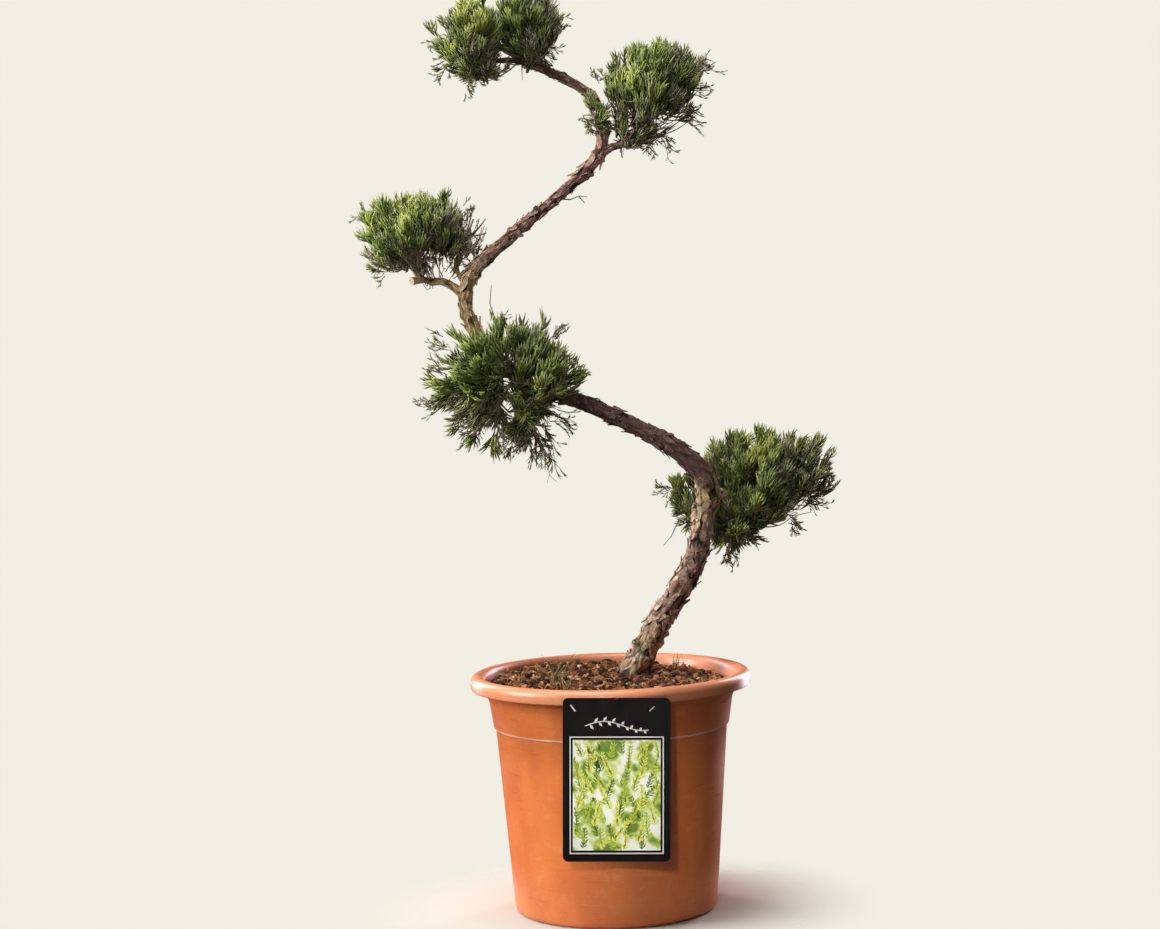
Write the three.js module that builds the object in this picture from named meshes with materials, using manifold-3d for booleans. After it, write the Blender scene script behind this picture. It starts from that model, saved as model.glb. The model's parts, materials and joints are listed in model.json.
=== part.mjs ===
// Juniper trained as a zigzag bonsai, in a round terracotta-coloured pot with a picture card on its rim.
// Millimetres, +Z up. The origin is the centre of the pot's underside, and the front is seen along +Y.
import * as THREE from "three";
import { mergeVertices } from "three/addons/utils/BufferGeometryUtils.js";
import Module from "manifold-3d";

const wasm = await Module();
wasm.setup();

// Clearances between neighbouring solids
const SEAT = 0.3;
const FOLIAGE_CLEAR = 1.2;

// How far a mass may reach out of its ellipsoids, and how much its core's lumps stand up
const FURTHEST = 1.04;
const CORE_LUMPS = 1.12;

// The steps in which a line is measured, and how far apart the points are that tell how near a limb is
const LINE_STEPS = 400;
const SAMPLE_STEP = 3;

// Where along a stretch it is told whether it is free
const FREE_SHARES = [0.15, 0.3, 0.45, 0.6, 0.8, 1];

// Edges and ledges shorter than this are left out of a joined solid
const FINEST = 0.05;

// The pot
const POT = {
  height: 238,
  rimRadius: 140,
  mouthRadius: 125.5,
  lipDepth: 14,
  collarRadius: 122,
  collarHeight: 212,
  stepHeight: 184,
  stepOut: 2,
  bodyTopRadius: 115.6,
  baseRadius: 101.6,
  baseRound: 6,
  stepRise: 1.5,
  wall: 2.8,
  floor: 3.5,
  insideRound: 5,
  lipHollow: 5,
  lipWall: 3.5,
  lipEdge: 2,
  facets: 36,
  drainHoles: 8,
  drainRadius: 7,
  drainCircle: 80,
  drainDepth: 20,
  boreDepth: 9,
  holeFacets: 10,
};

// The potting mix, level under the trunk and sunk a little towards the pot's wall
const SOIL = {
  edgeHeight: 226,
  levelHeight: 232,
  levelReach: 34,
  moundReach: 95,
  rough: 3.2,
  wallGap: 0.6,
  toeIn: 6,
  toeRise: 5,
  shoulder: 4,
  flare: 1.2,
  ringRadii: [104, 78, 54, 30],
};

// The picture card that hangs from a peg in the rim
const CARD = {
  width: 102,
  height: 156,
  thickness: 0.9,
  corner: 5,
  topHeight: 231.6,
  centre: 4,
  swingDeg: -1.6,
  pegDrop: 3.6,
  pegRadius: 1.5,
  pegPlay: 0.4,
  pegFacets: 12,
  headRadius: 3.6,
  headFront: 2.7,
  headDepth: 2,
  pegLength: 6.5,
};

// The trunk's line from the soil to its fork at the top, each point with the radius of the wood there
const TRUNK = [
  { at: [25, 35, 232.3], r: 12.3 },
  { at: [52, 27, 284], r: 11.6 },
  { at: [72, 21, 316], r: 11.9 },
  { at: [88, 16, 347], r: 11.1 },
  { at: [98, 8, 388], r: 10.6 },
  { at: [102, -3, 425], r: 11.4 },
  { at: [76, -5, 453], r: 9.6 },
  { at: [46, 0, 472], r: 8.4 },
  { at: [-12, 8, 501], r: 8 },
  { at: [-77, 12, 531], r: 7.6 },
  { at: [-113, 6, 562], r: 7.2 },
  { at: [-134, 0, 612], r: 6.5 },
  { at: [-123, -1, 641], r: 6.6 },
  { at: [-87, -4, 673], r: 6.1 },
  { at: [-45, -6, 706], r: 5.4 },
  { at: [2, -2, 750], r: 6.3 },
  { at: [8, 2, 779], r: 4.8 },
  { at: [1, 5, 806], r: 4.4 },
  { at: [-23, 7, 825], r: 4.7 },
  { at: [-60, 4, 842], r: 3.8 },
];
const TRUNK_SIDES = 9;
const ROOT_FLARE = { rise: 22, out: 3.4, lobes: 5, lobeDepth: 0.16, below: 22 };
const BARK_RIPPLE = { depth: 0.07, twist: 0.11, wave: 0.07 };

// Where the trunk is divided into limbs, as indices into its line
const TRUNK_PARTS = [
  { name: "trunk_foot", from: 0, to: 5, rings: 13 },
  { name: "trunk_second", from: 5, to: 9, rings: 12 },
  { name: "trunk_third", from: 9, to: 11, rings: 8 },
  { name: "trunk_fourth", from: 11, to: 15, rings: 12 },
  { name: "trunk_leader", from: 15, to: 19, rings: 11 },
];

// Each mass of foliage: its bough's line from the trunk to the hub where it branches, the share of that
// line that is bare bough, the ellipsoids of space that it fills, and how densely it is leaved.
const MASSES = [
  {
    name: "low_main",
    line: [[103, -2, 412], [120, 12, 410], [140, 30, 410]],
    bare: 0.36,
    radius: 6,
    lobes: [{ at: [162, 38, 427], size: [72, 62, 46] }, { at: [131, 34, 386], size: [44, 48, 35] }],
    core: 0.7,
    sprigs: 58,
    seed: 3,
  },
  {
    name: "low_left",
    line: [[98, 6, 392], [91, 20, 394], [84, 34, 400]],
    bare: 0.55,
    radius: 3.6,
    lobes: [{ at: [82, 42, 402], size: [31, 32, 40] }],
    core: 0,
    sprigs: 15,
    seed: 7,
  },
  {
    name: "mid_left",
    line: [[-94, 10, 545], [-107, 3, 541], [-122, -3, 532]],
    bare: 0.45,
    radius: 4.2,
    lobes: [{ at: [-131, -6, 527], size: [49, 58, 64] }],
    core: 0.68,
    sprigs: 44,
    seed: 11,
  },
  {
    name: "mid_right",
    line: [[-60, 12, 522], [-62, 13, 534], [-58, 12, 547]],
    bare: 0.45,
    radius: 4.4,
    lobes: [{ at: [-56, 2, 539], size: [45, 54, 49] }, { at: [-84, 4, 577], size: [42, 42, 29] }],
    core: 0.68,
    sprigs: 50,
    seed: 14,
  },
  {
    name: "mid_tail",
    line: [[-70, 12, 528], [-70, 7, 512], [-71, 3, 494]],
    bare: 0.5,
    radius: 3.8,
    lobes: [{ at: [-68, 2, 474], size: [35, 34, 44] }],
    core: 0,
    sprigs: 14,
    seed: 17,
  },
  {
    name: "left_main",
    line: [[-134, 0, 616], [-152, 0, 630], [-174, 2, 634], [-190, 5, 652]],
    bare: 0.6,
    radius: 4.6,
    lobes: [{ at: [-182, 5, 682], size: [56, 50, 42] }],
    core: 0.68,
    sprigs: 44,
    seed: 23,
  },
  {
    name: "left_inner",
    line: [[-132, 0, 626], [-141, 7, 643], [-138, 18, 664]],
    bare: 0.5,
    radius: 3,
    lobes: [{ at: [-128, 24, 684], size: [33, 38, 32] }],
    core: 0,
    sprigs: 13,
    seed: 29,
  },
  {
    name: "right_main",
    line: [[2, -3, 750], [15, -3, 758], [30, -1, 762], [48, 3, 780]],
    bare: 0.5,
    radius: 4.8,
    lobes: [{ at: [62, 5, 814], size: [53, 54, 54] }, { at: [44, 2, 777], size: [38, 38, 27] }],
    core: 0.68,
    sprigs: 56,
    seed: 31,
  },
  {
    name: "right_sleeve",
    line: [[8, 1, 771], [2, -9, 774], [0, -12, 786]],
    bare: 0,
    radius: 2.4,
    lobes: [{ at: [3, -3, 788], size: [24, 28, 36] }],
    core: 0,
    sprigs: 14,
    seed: 39,
  },
  {
    name: "top_left",
    line: [[-57, 5, 841], [-80, 3, 847], [-98, 1, 847], [-116, 0, 856]],
    bare: 0.6,
    radius: 3.4,
    lobes: [{ at: [-122, 0, 872], size: [36, 44, 50] }],
    core: 0.68,
    sprigs: 36,
    seed: 41,
  },
  {
    name: "top_right",
    line: [[-53, 5, 840], [-58, 8, 852], [-62, 8, 868]],
    bare: 0.4,
    radius: 3.2,
    lobes: [{ at: [-62, 8, 884], size: [40, 46, 48] }],
    core: 0.68,
    sprigs: 37,
    seed: 43,
  },
];

// A sprig: a slim three-sided core with a toothed fin of needles on each side, on a twig or on a dense core
const SPRIG = {
  length: 30,
  fullSize: 46,
  spread: 0.3,
  coreRadius: 3.4,
  widest: 0.32,
  toothAt: 0.66,
  toothOut: 8,
  footRadius: 1.9,
  twigRadius: 1,
  lift: 0.5,
  sunk: 0.16,
  apart: 9,
  toothRadius: 0.6,
  nearest: 0.96,
  furthest: 1.03,
  slip: [0.4, 0.7],
  trials: [1, 0.93, 0.84, 0.75],
};
const LEADER = { radius: 2.5, tipRadius: 2.1, sides: 5, beyond: 0.45 };
const BRANCH = {
  radius: 1.9,
  tipRadius: 1.5,
  sides: 4,
  perLobe: 6,
  reach: 0.52,
  lowest: 0.1,
  highest: 0.9,
  firstAnchor: 0.12,
  lastAnchor: 0.95,
  lags: [0.1, 0.2, 0.4, 0.6],
};
const STEM = { sides: 6, rings: 4, boughRings: 5, boughTaper: 0.45 };
const CORE_WAVES = [5, 4, 3];

const COLOURS = {
  wood: { color: 0x6b4a3c, roughness: 0.95, metalness: 0 },
  foliage: { color: 0x3f5f24, roughness: 0.8, metalness: 0 },
  pot: { color: 0xc4693a, roughness: 0.45, metalness: 0 },
  soil: { color: 0x4a3226, roughness: 1, metalness: 0 },
  card: { color: 0x14100f, roughness: 0.35, metalness: 0 },
};

const vector = (point) => new THREE.Vector3(...point);
const GOLDEN_ANGLE = Math.PI * (3 - Math.sqrt(5));

// A repeatable number from 0 to 1 for a seed and an index.
function chance(seed, index) {
  const wave = Math.sin(seed * 12.9898 + index * 78.233) * 43758.5453;
  return wave - Math.floor(wave);
}

// A closed geometry as a boolean solid.
function solidOf(geometry) {
  const bare = geometry.clone();
  bare.deleteAttribute("normal");
  bare.deleteAttribute("uv");
  const merged = mergeVertices(bare);
  return new wasm.Manifold(
    new wasm.Mesh({
      numProp: 3,
      vertProperties: merged.attributes.position.array,
      triVerts: new Uint32Array(merged.index.array),
    }),
  );
}

// The largest body of a boolean solid as a geometry. Loose scraps and sealed hollows are left behind.
function geometryOf(solid) {
  const bodies = solid.simplify(FINEST).decompose();
  const largest = bodies.reduce((best, body) => (body.volume() > best.volume() ? body : best));
  const mesh = largest.getMesh();
  const geometry = new THREE.BufferGeometry();
  geometry.setAttribute("position", new THREE.BufferAttribute(mesh.vertProperties, 3));
  geometry.setIndex(new THREE.BufferAttribute(mesh.triVerts, 1));
  return geometry;
}

function meshOf(name, geometry, finish) {
  const mesh = new THREE.Mesh(geometry, new THREE.MeshStandardMaterial(finish));
  mesh.name = name;
  return mesh;
}

// A geometry from corner points and the faces between them.
function facetsOf(points, faces) {
  const geometry = new THREE.BufferGeometry();
  geometry.setAttribute("position", new THREE.Float32BufferAttribute(points.flatMap((p) => p.toArray()), 3));
  geometry.setIndex(faces);
  return geometry;
}

// A closed solid through rings of points, each ring in order round the line, with a cap at both ends.
function loft(rings) {
  const sides = rings[0].length;
  const faces = [];
  for (let ring = 0; ring + 1 < rings.length; ring += 1) {
    for (let side = 0; side < sides; side += 1) {
      const next = (side + 1) % sides;
      const low = ring * sides;
      const high = low + sides;
      faces.push(low + side, low + next, high + next, low + side, high + next, high + side);
    }
  }
  const last = (rings.length - 1) * sides;
  for (let side = 1; side + 1 < sides; side += 1) {
    faces.push(0, side + 1, side, last, last + side, last + side + 1);
  }
  return facetsOf(rings.flat(), faces);
}

// Two directions square to a third, which together turn the right way round it.
function across(direction) {
  const helper = Math.abs(direction.z) < 0.9 ? new THREE.Vector3(0, 0, 1) : new THREE.Vector3(1, 0, 0);
  const side = new THREE.Vector3().crossVectors(helper, direction).normalize();
  return [side, new THREE.Vector3().crossVectors(direction, side)];
}

// A ring of points round a centre, square to two directions.
function ringOf(centre, [side, other], radius, sides, start = 0) {
  return Array.from({ length: sides }, (_, i) => {
    const turn = start + (i / sides) * 2 * Math.PI;
    return centre
      .clone()
      .addScaledVector(side, radius * Math.cos(turn))
      .addScaledVector(other, radius * Math.sin(turn));
  });
}

// A straight tapering branch from one point to another.
function branch(from, to, radiusFrom, radiusTo, sides) {
  const axes = across(to.clone().sub(from).normalize());
  return solidOf(loft([ringOf(from, axes, radiusFrom, sides), ringOf(to, axes, radiusTo, sides)]));
}

// A line with radii, where u runs from 0 to 1 over its length.
class LimbLine {
  constructor(points, radii) {
    this.curve = new THREE.CatmullRomCurve3(points.map(vector), false, "centripetal");
    this.curve.arcLengthDivisions = LINE_STEPS;
    this.length = this.curve.getLength();
    this.frames = this.curve.computeFrenetFrames(LINE_STEPS, false);
    this.steps = this.curve.getSpacedPoints(LINE_STEPS);
    this.stops = points.map((point) => this.steps.indexOf(this.nearest(vector(point))) / LINE_STEPS);
    this.radii = radii;
  }

  // The point of the line that lies nearest to a given one.
  nearest(point) {
    return this.steps.reduce((best, step) => (step.distanceTo(point) < best.distanceTo(point) ? step : best));
  }

  radiusAt(u) {
    const last = this.stops.length - 1;
    const index = Math.min(last - 1, Math.max(0, this.stops.findIndex((stop) => stop >= u) - 1));
    const blend = THREE.MathUtils.smoothstep(u, this.stops[index], this.stops[index + 1]);
    return THREE.MathUtils.lerp(this.radii[index], this.radii[index + 1], blend);
  }

  ring(u, sides, radiusOf) {
    const step = Math.round(u * LINE_STEPS);
    const { normals, binormals } = this.frames;
    return Array.from({ length: sides }, (_, i) => {
      const turn = (i / sides) * 2 * Math.PI;
      const out = radiusOf(u, turn);
      return this.curve
        .getPointAt(u)
        .addScaledVector(normals[step], out * Math.cos(turn))
        .addScaledVector(binormals[step], out * Math.sin(turn));
    });
  }

  // Points along a stretch of the line with their radii, for telling how near something else is.
  samples(from, to) {
    const count = Math.ceil(((to - from) * this.length) / SAMPLE_STEP) || 1;
    return Array.from({ length: count + 1 }, (_, i) => {
      const u = from + ((to - from) * i) / count;
      return { at: this.curve.getPointAt(u), radius: this.radiusAt(u) };
    });
  }
}

// Rings evenly along a stretch of a line, the first and last slid out along it by a little where asked.
function ringsAlong(line, from, to, count, sides, radiusOf, before = 0, after = 0) {
  const step = (to - from) / (count - 1);
  const rings = Array.from({ length: count }, (_, i) => line.ring(from + step * i, sides, radiusOf));
  rings[0].forEach((point) => point.addScaledVector(line.curve.getTangentAt(from), -before));
  rings[count - 1].forEach((point) => point.addScaledVector(line.curve.getTangentAt(to), after));
  return rings;
}

const trunkLine = new LimbLine(TRUNK.map((stop) => stop.at), TRUNK.map((stop) => stop.r));

// The trunk's radius with the root flare's buttresses at its foot and a gentle ripple of bark above.
function trunkRadius(u, turn) {
  const above = u * trunkLine.length;
  const flare = Math.exp(-above / ROOT_FLARE.rise);
  const buttress = 1 + ROOT_FLARE.lobeDepth * flare * Math.cos(ROOT_FLARE.lobes * turn);
  const { depth, twist, wave } = BARK_RIPPLE;
  const ripple = 1 + depth * Math.sin(2 * turn + above * twist) * Math.cos(above * wave + turn);
  return (trunkLine.radiusAt(u) * ripple + ROOT_FLARE.out * flare) * buttress;
}

// The trunk's parts, each ending square to the line with the seat's gap to the next one.
const trunkParts = TRUNK_PARTS.map((part, i) => {
  const half = SEAT / 2 / trunkLine.length;
  return {
    ...part,
    from: trunkLine.stops[part.from] + (i > 0 ? half : 0),
    to: trunkLine.stops[part.to] - (i + 1 < TRUNK_PARTS.length ? half : 0),
  };
});

// The foot is carried on below the soil along its own lean, and cut flat where it meets the soil.
function makeTrunk() {
  return trunkParts.map(({ name, from, to, rings }) => {
    const below = from === 0 ? ROOT_FLARE.below : 0;
    const line = ringsAlong(trunkLine, from, to, rings, TRUNK_SIDES, trunkRadius, below);
    const solid = solidOf(loft(line)).trimByPlane([0, 0, 1], TRUNK[0].at[2]);
    return meshOf(name, geometryOf(solid), COLOURS.wood);
  });
}

// The trunk made fatter and longer by the seat's gap, which the boughs are cut clear of.
const trunkKeepOut = wasm.Manifold.union(
  trunkParts.map(({ from, to, rings }) => {
    const grown = (u, turn) => trunkRadius(u, turn) + SEAT;
    return solidOf(loft(ringsAlong(trunkLine, from, to, rings, TRUNK_SIDES, grown, SEAT, SEAT)));
  }),
);

// Each bough starts at the trunk's own line and tapers to its hub.
for (const mass of MASSES) {
  const taper = mass.line.map((_, i) => mass.radius * (1 - (STEM.boughTaper * i) / (mass.line.length - 1)));
  mass.line[0] = trunkLine.nearest(vector(mass.line[0])).toArray();
  mass.path = new LimbLine(mass.line, taper);
}

// The wood that foliage keeps clear of: the trunk and the bare boughs.
const limbs = [trunkLine.samples(0, 1), ...MASSES.map((mass) => mass.path.samples(0, mass.bare))].flat();

// The bare part of a mass's bough, made fatter and longer by a little where asked.
function boughSolid({ path, bare }, grown = 0) {
  const end = bare - SEAT / 2 / path.length;
  const radiusOf = (u) => path.radiusAt(u) + grown;
  return solidOf(loft(ringsAlong(path, 0, end, STEM.boughRings, STEM.sides, radiusOf, 0, grown)));
}

const boughed = MASSES.filter((mass) => mass.bare > 0);

// The space round the trunk and the boughs that the masses are cut clear of.
const woodKeepOut = wasm.Manifold.union([trunkKeepOut, ...boughed.map((mass) => boughSolid(mass, SEAT))]);

function makeBough(mass) {
  return meshOf("bough_" + mass.name, geometryOf(boughSolid(mass).subtract(trunkKeepOut)), COLOURS.wood);
}

// How far out a point is in the nearest of some ellipsoids, where 1 is on the surface.
function reach(point, lobes) {
  return Math.min(
    ...lobes.map(({ at, size }) =>
      Math.hypot((point.x - at[0]) / size[0], (point.y - at[1]) / size[1], (point.z - at[2]) / size[2]),
    ),
  );
}

// How steeply a mass's reach can change over a millimetre.
function steepness(mass) {
  return Math.max(...mass.lobes.map(({ size }) => 1 / Math.min(...size)));
}

// Whether a point with some thickness lies in a mass's own space and clear of every limb.
function free(mass, point, thickness) {
  const own = reach(point, mass.lobes);
  if (own > FURTHEST) return false;
  for (const other of MASSES) {
    if (other === mass) continue;
    const beside = (thickness + FOLIAGE_CLEAR / 2) * (steepness(mass) + steepness(other));
    const away = reach(point, other.lobes);
    if (away < own + beside || away < other.core * CORE_LUMPS + beside) return false;
  }
  return limbs.every(({ at, radius }) => at.distanceTo(point) > radius + thickness + FOLIAGE_CLEAR);
}

// Whether the whole of a stretch is free. Its first end may lie in the wood that it grows from.
function freeAlong(mass, from, to, thickness) {
  return FREE_SHARES.every((share) => free(mass, from.clone().lerp(to, share), thickness));
}

// One sprig as a single closed surface through three-sided rings, each a centre and a radius, up to its tip.
// A tooth stands out of each face between the last ring and the tip.
function sprig(mass, rings, tip, turn, scale) {
  const [widest] = rings.at(-1);
  const direction = tip.clone().sub(widest).normalize();
  const axes = across(direction);
  const points = rings.flatMap(([centre, radius]) => ringOf(centre, axes, radius, 3, turn));
  points.push(tip);
  const last = (rings.length - 1) * 3;
  const apex = points.length - 1;
  const faces = [0, 2, 1];
  for (let i = 0; i < 3; i += 1) {
    const next = (i + 1) % 3;
    for (let low = 0; low < last; low += 3) {
      faces.push(low + i, low + next, low + 3 + next, low + i, low + 3 + next, low + 3 + i);
    }
    const out = points[last + i].clone().add(points[last + next]).multiplyScalar(0.5).sub(widest).normalize();
    const tooth = widest.clone().lerp(tip, SPRIG.toothAt).addScaledVector(out, SPRIG.toothOut * scale);
    if (free(mass, tooth, SPRIG.toothRadius)) {
      points.push(tooth);
      const top = points.length - 1;
      faces.push(last + i, last + next, top, last + next, apex, top, apex, last + i, top);
    } else {
      faces.push(last + i, last + next, apex);
    }
  }
  return solidOf(facetsOf(points, faces));
}

// A lumpy ellipsoid inside a dense mass.
function massCore(mass, lobe) {
  const ball = new THREE.IcosahedronGeometry(1, 1);
  const position = ball.attributes.position;
  for (let i = 0; i < position.count; i += 1) {
    const p = new THREE.Vector3().fromBufferAttribute(position, i);
    const [a, b, c] = CORE_WAVES;
    const lump = 1 + (CORE_LUMPS - 1) * Math.sin(a * p.x + mass.seed) * Math.cos(b * p.y + c * p.z);
    p.multiplyScalar(mass.core * lump).multiply(vector(lobe.size)).add(vector(lobe.at));
    position.setXYZ(i, p.x, p.y, p.z);
  }
  return solidOf(ball);
}

// The place on a mass's branches that a sprig with this root grows from, a little nearer the hub than it is.
function anchorFor(root, branches, taken) {
  let best = null;
  for (const { from, to } of branches) {
    const line = new THREE.Line3(from, to);
    const nearest = line.closestPointToPointParameter(root, true);
    for (const lag of BRANCH.lags) {
      const along = THREE.MathUtils.clamp(nearest - lag, BRANCH.firstAnchor, BRANCH.lastAnchor);
      const place = line.at(along, new THREE.Vector3());
      if (taken.some((other) => other.distanceTo(place) < 2 * SPRIG.twigRadius)) continue;
      if (!best || place.distanceTo(root) < best.distanceTo(root)) best = place;
    }
  }
  return best;
}

// The wood inside an open lobe: a leader from the hub through its middle, and branches off it in turn.
function openLobe(mass, lobe, hub, pieces) {
  const middle = vector(lobe.at);
  const end = hub.clone().lerp(middle, 1 + LEADER.beyond);
  const branches = [];
  if (!freeAlong(mass, hub, end, LEADER.radius)) end.copy(middle);
  const sunk = end.clone().sub(hub).setLength(LEADER.radius * 0.5);
  pieces.push(branch(hub.clone().sub(sunk), end, LEADER.radius, LEADER.tipRadius, LEADER.sides));
  branches.push({ from: hub, to: end });
  for (let i = 0; i < BRANCH.perLobe; i += 1) {
    const target = shellPoint(lobe, i + 0.5, BRANCH.perLobe, BRANCH.reach);
    const along = THREE.MathUtils.lerp(BRANCH.lowest, BRANCH.highest, i / BRANCH.perLobe);
    const from = hub.clone().lerp(end, along);
    if (!freeAlong(mass, from, target, BRANCH.tipRadius)) continue;
    pieces.push(branch(from, target, BRANCH.radius, BRANCH.tipRadius, BRANCH.sides));
    branches.push({ from, to: target });
  }
  return branches;
}

// The rings of a sprig that stands out of a dense lobe's core, from its foot inside the core.
function ringsOnCore(mass, lobe, tip, direction, scale) {
  const foot = tip.clone();
  let shown = 0;
  while (reach(foot, [lobe]) > mass.core * (1 - SPRIG.sunk)) {
    foot.addScaledVector(direction, -1);
    if (reach(foot, [lobe]) > mass.core) shown += 1;
    if (shown > SPRIG.length) return null;
  }
  const widest = tip.clone().addScaledVector(direction, -shown * (1 - SPRIG.widest));
  return [[foot, SPRIG.footRadius * scale], [widest, SPRIG.coreRadius * scale]];
}

// The rings of a sprig on a twig of its own, or null where the twig has no free way to a branch.
function ringsOnTwig(mass, branches, tip, direction, length, scale, taken) {
  const root = tip.clone().addScaledVector(direction, -length);
  const foot = anchorFor(root, branches, taken);
  if (!foot || !freeAlong(mass, foot, root, SPRIG.twigRadius)) return null;
  taken.push(foot);
  const widest = root.clone().lerp(tip, SPRIG.widest);
  return [[foot, SPRIG.twigRadius], [root, SPRIG.twigRadius * 0.9], [widest, SPRIG.coreRadius * scale]];
}

// The sprig that fills one place of a lobe: the first of a few trials, further in each time, that is free.
function sprigAt(mass, lobe, place, count, index, branches, grown, taken) {
  const middle = vector(lobe.at);
  const scale = Math.min(1, Math.cbrt(lobe.size[0] * lobe.size[1] * lobe.size[2]) / SPRIG.fullSize);
  for (const [trial, inward] of SPRIG.trials.entries()) {
    const draw = (salt) => chance(mass.seed + salt, index + count * trial);
    const share = inward * THREE.MathUtils.lerp(SPRIG.nearest, SPRIG.furthest, draw(2));
    const tip = shellPoint(lobe, place + THREE.MathUtils.lerp(...SPRIG.slip, draw(1)), count, share);
    const direction = tip.clone().sub(middle).normalize();
    direction.z += SPRIG.lift;
    direction.normalize();
    const length = SPRIG.length * scale * (1 + SPRIG.spread * (draw(3) - 0.5));
    if (grown.some((other) => other.distanceTo(tip) < SPRIG.apart * scale)) continue;
    if (!freeAlong(mass, tip.clone().addScaledVector(direction, -length), tip, SPRIG.coreRadius)) continue;
    const rings = branches
      ? ringsOnTwig(mass, branches, tip, direction, length, scale, taken)
      : ringsOnCore(mass, lobe, tip, direction, scale);
    if (!rings) continue;
    grown.push(tip);
    return sprig(mass, rings, tip, draw(4) * Math.PI, scale);
  }
  return null;
}

// A mass of foliage, grown from its hub: the wood or the core inside each lobe, and sprigs evenly over it.
function growMass(mass) {
  const hub = vector(mass.line.at(-1));
  const stem = ringsAlong(mass.path, mass.bare, 1, STEM.rings, STEM.sides, (u) => mass.path.radiusAt(u));
  const pieces = [solidOf(loft(stem))];
  const face = ({ size }) => size[0] * size[2];
  const faces = mass.lobes.reduce((sum, lobe) => sum + face(lobe), 0);
  const grown = [];
  const taken = [];
  let index = 0;
  for (const lobe of mass.lobes) {
    let branches = null;
    if (mass.core > 0) {
      const limbIn = branch(hub, vector(lobe.at), LEADER.radius, LEADER.tipRadius, LEADER.sides);
      pieces.push(massCore(mass, lobe), limbIn);
    } else {
      branches = openLobe(mass, lobe, hub, pieces);
    }
    const count = Math.round((mass.sprigs * face(lobe)) / faces);
    for (let place = 0; place < count; place += 1) {
      index += 1;
      const piece = sprigAt(mass, lobe, place, count, index, branches, grown, taken);
      if (piece) pieces.push(piece);
    }
  }
  const clear = wasm.Manifold.union(pieces).subtract(woodKeepOut);
  return meshOf("foliage_" + mass.name, geometryOf(clear), COLOURS.foliage);
}

// A point in a lobe, spread evenly over its directions, at a share of its radius.
function shellPoint(lobe, index, count, share) {
  const height = 1 - (2 * index) / count;
  const level = Math.sqrt(Math.max(0, 1 - height * height));
  const turn = index * GOLDEN_ANGLE;
  return new THREE.Vector3(
    lobe.at[0] + lobe.size[0] * share * level * Math.cos(turn),
    lobe.at[1] + lobe.size[1] * share * level * Math.sin(turn),
    lobe.at[2] + lobe.size[2] * share * height,
  );
}

// The outline of the pot from the middle of its underside, up outside, over the rolled lip and down inside.
function potProfile() {
  const p = POT;
  const lipMiddle = (p.rimRadius + p.mouthRadius) / 2;
  const lipHalf = (p.rimRadius - p.mouthRadius) / 2;
  const lipFoot = p.height - p.lipDepth;
  const lipTop = [0, 45, 90, 135, 180].map((degrees) => {
    const turn = THREE.MathUtils.degToRad(degrees);
    return [lipMiddle + lipHalf * Math.cos(turn), p.height - lipHalf * (1 - Math.sin(turn))];
  });
  const points = [
    [0, 0],
    [p.baseRadius - p.baseRound, 0],
    [p.baseRadius, p.baseRound],
    [p.bodyTopRadius, p.stepHeight],
    [p.bodyTopRadius + p.stepOut, p.stepHeight + p.stepRise],
    [p.collarRadius, p.collarHeight],
    [p.mouthRadius + p.wall, lipFoot + p.lipHollow],
    [p.rimRadius - p.lipWall, lipFoot + p.lipHollow],
    [p.rimRadius - 1.5 * p.lipEdge, lipFoot],
    [p.rimRadius - 0.5 * p.lipEdge, lipFoot],
    ...lipTop,
    [p.collarRadius - p.wall, p.collarHeight],
    [p.bodyTopRadius - p.wall, p.stepHeight],
    [p.baseRadius - p.wall, p.floor + p.insideRound],
    [p.baseRadius - p.wall - p.insideRound, p.floor],
    [0, p.floor],
  ];
  return points.map(([r, z]) => new THREE.Vector2(r, z));
}

// A profile turned about the Z axis.
function turned(profile, facets) {
  return new THREE.LatheGeometry(profile, facets).rotateX(Math.PI / 2);
}

function makePot() {
  let solid = solidOf(turned(potProfile(), POT.facets));
  for (let i = 0; i < POT.drainHoles; i += 1) {
    const turn = ((i + 0.5) / POT.drainHoles) * 2 * Math.PI;
    const hole = new THREE.CylinderGeometry(POT.drainRadius, POT.drainRadius, POT.drainDepth, POT.holeFacets)
      .rotateX(Math.PI / 2)
      .translate(POT.drainCircle * Math.cos(turn), POT.drainCircle * Math.sin(turn), 0);
    solid = solid.subtract(solidOf(hole));
  }
  const around = CARD.pegRadius + CARD.pegPlay;
  const bore = new THREE.CylinderGeometry(around, around, POT.boreDepth, POT.holeFacets)
    .translate(CARD.centre, -POT.rimRadius, CARD.topHeight - CARD.pegDrop);
  return meshOf("pot", geometryOf(solid.subtract(solidOf(bore))), COLOURS.pot);
}

// The height of the potting mix at a place: level round the trunk's foot, rough and falling beyond it.
function soilHeight(x, y) {
  const away = Math.hypot(x - TRUNK[0].at[0], y - TRUNK[0].at[1]);
  const fall = THREE.MathUtils.smoothstep(away, SOIL.levelReach, SOIL.moundReach);
  const rough = away > SOIL.levelReach ? SOIL.rough * (chance(x, y) - 1) : 0;
  return THREE.MathUtils.lerp(SOIL.levelHeight, SOIL.edgeHeight, fall) + rough;
}

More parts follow.
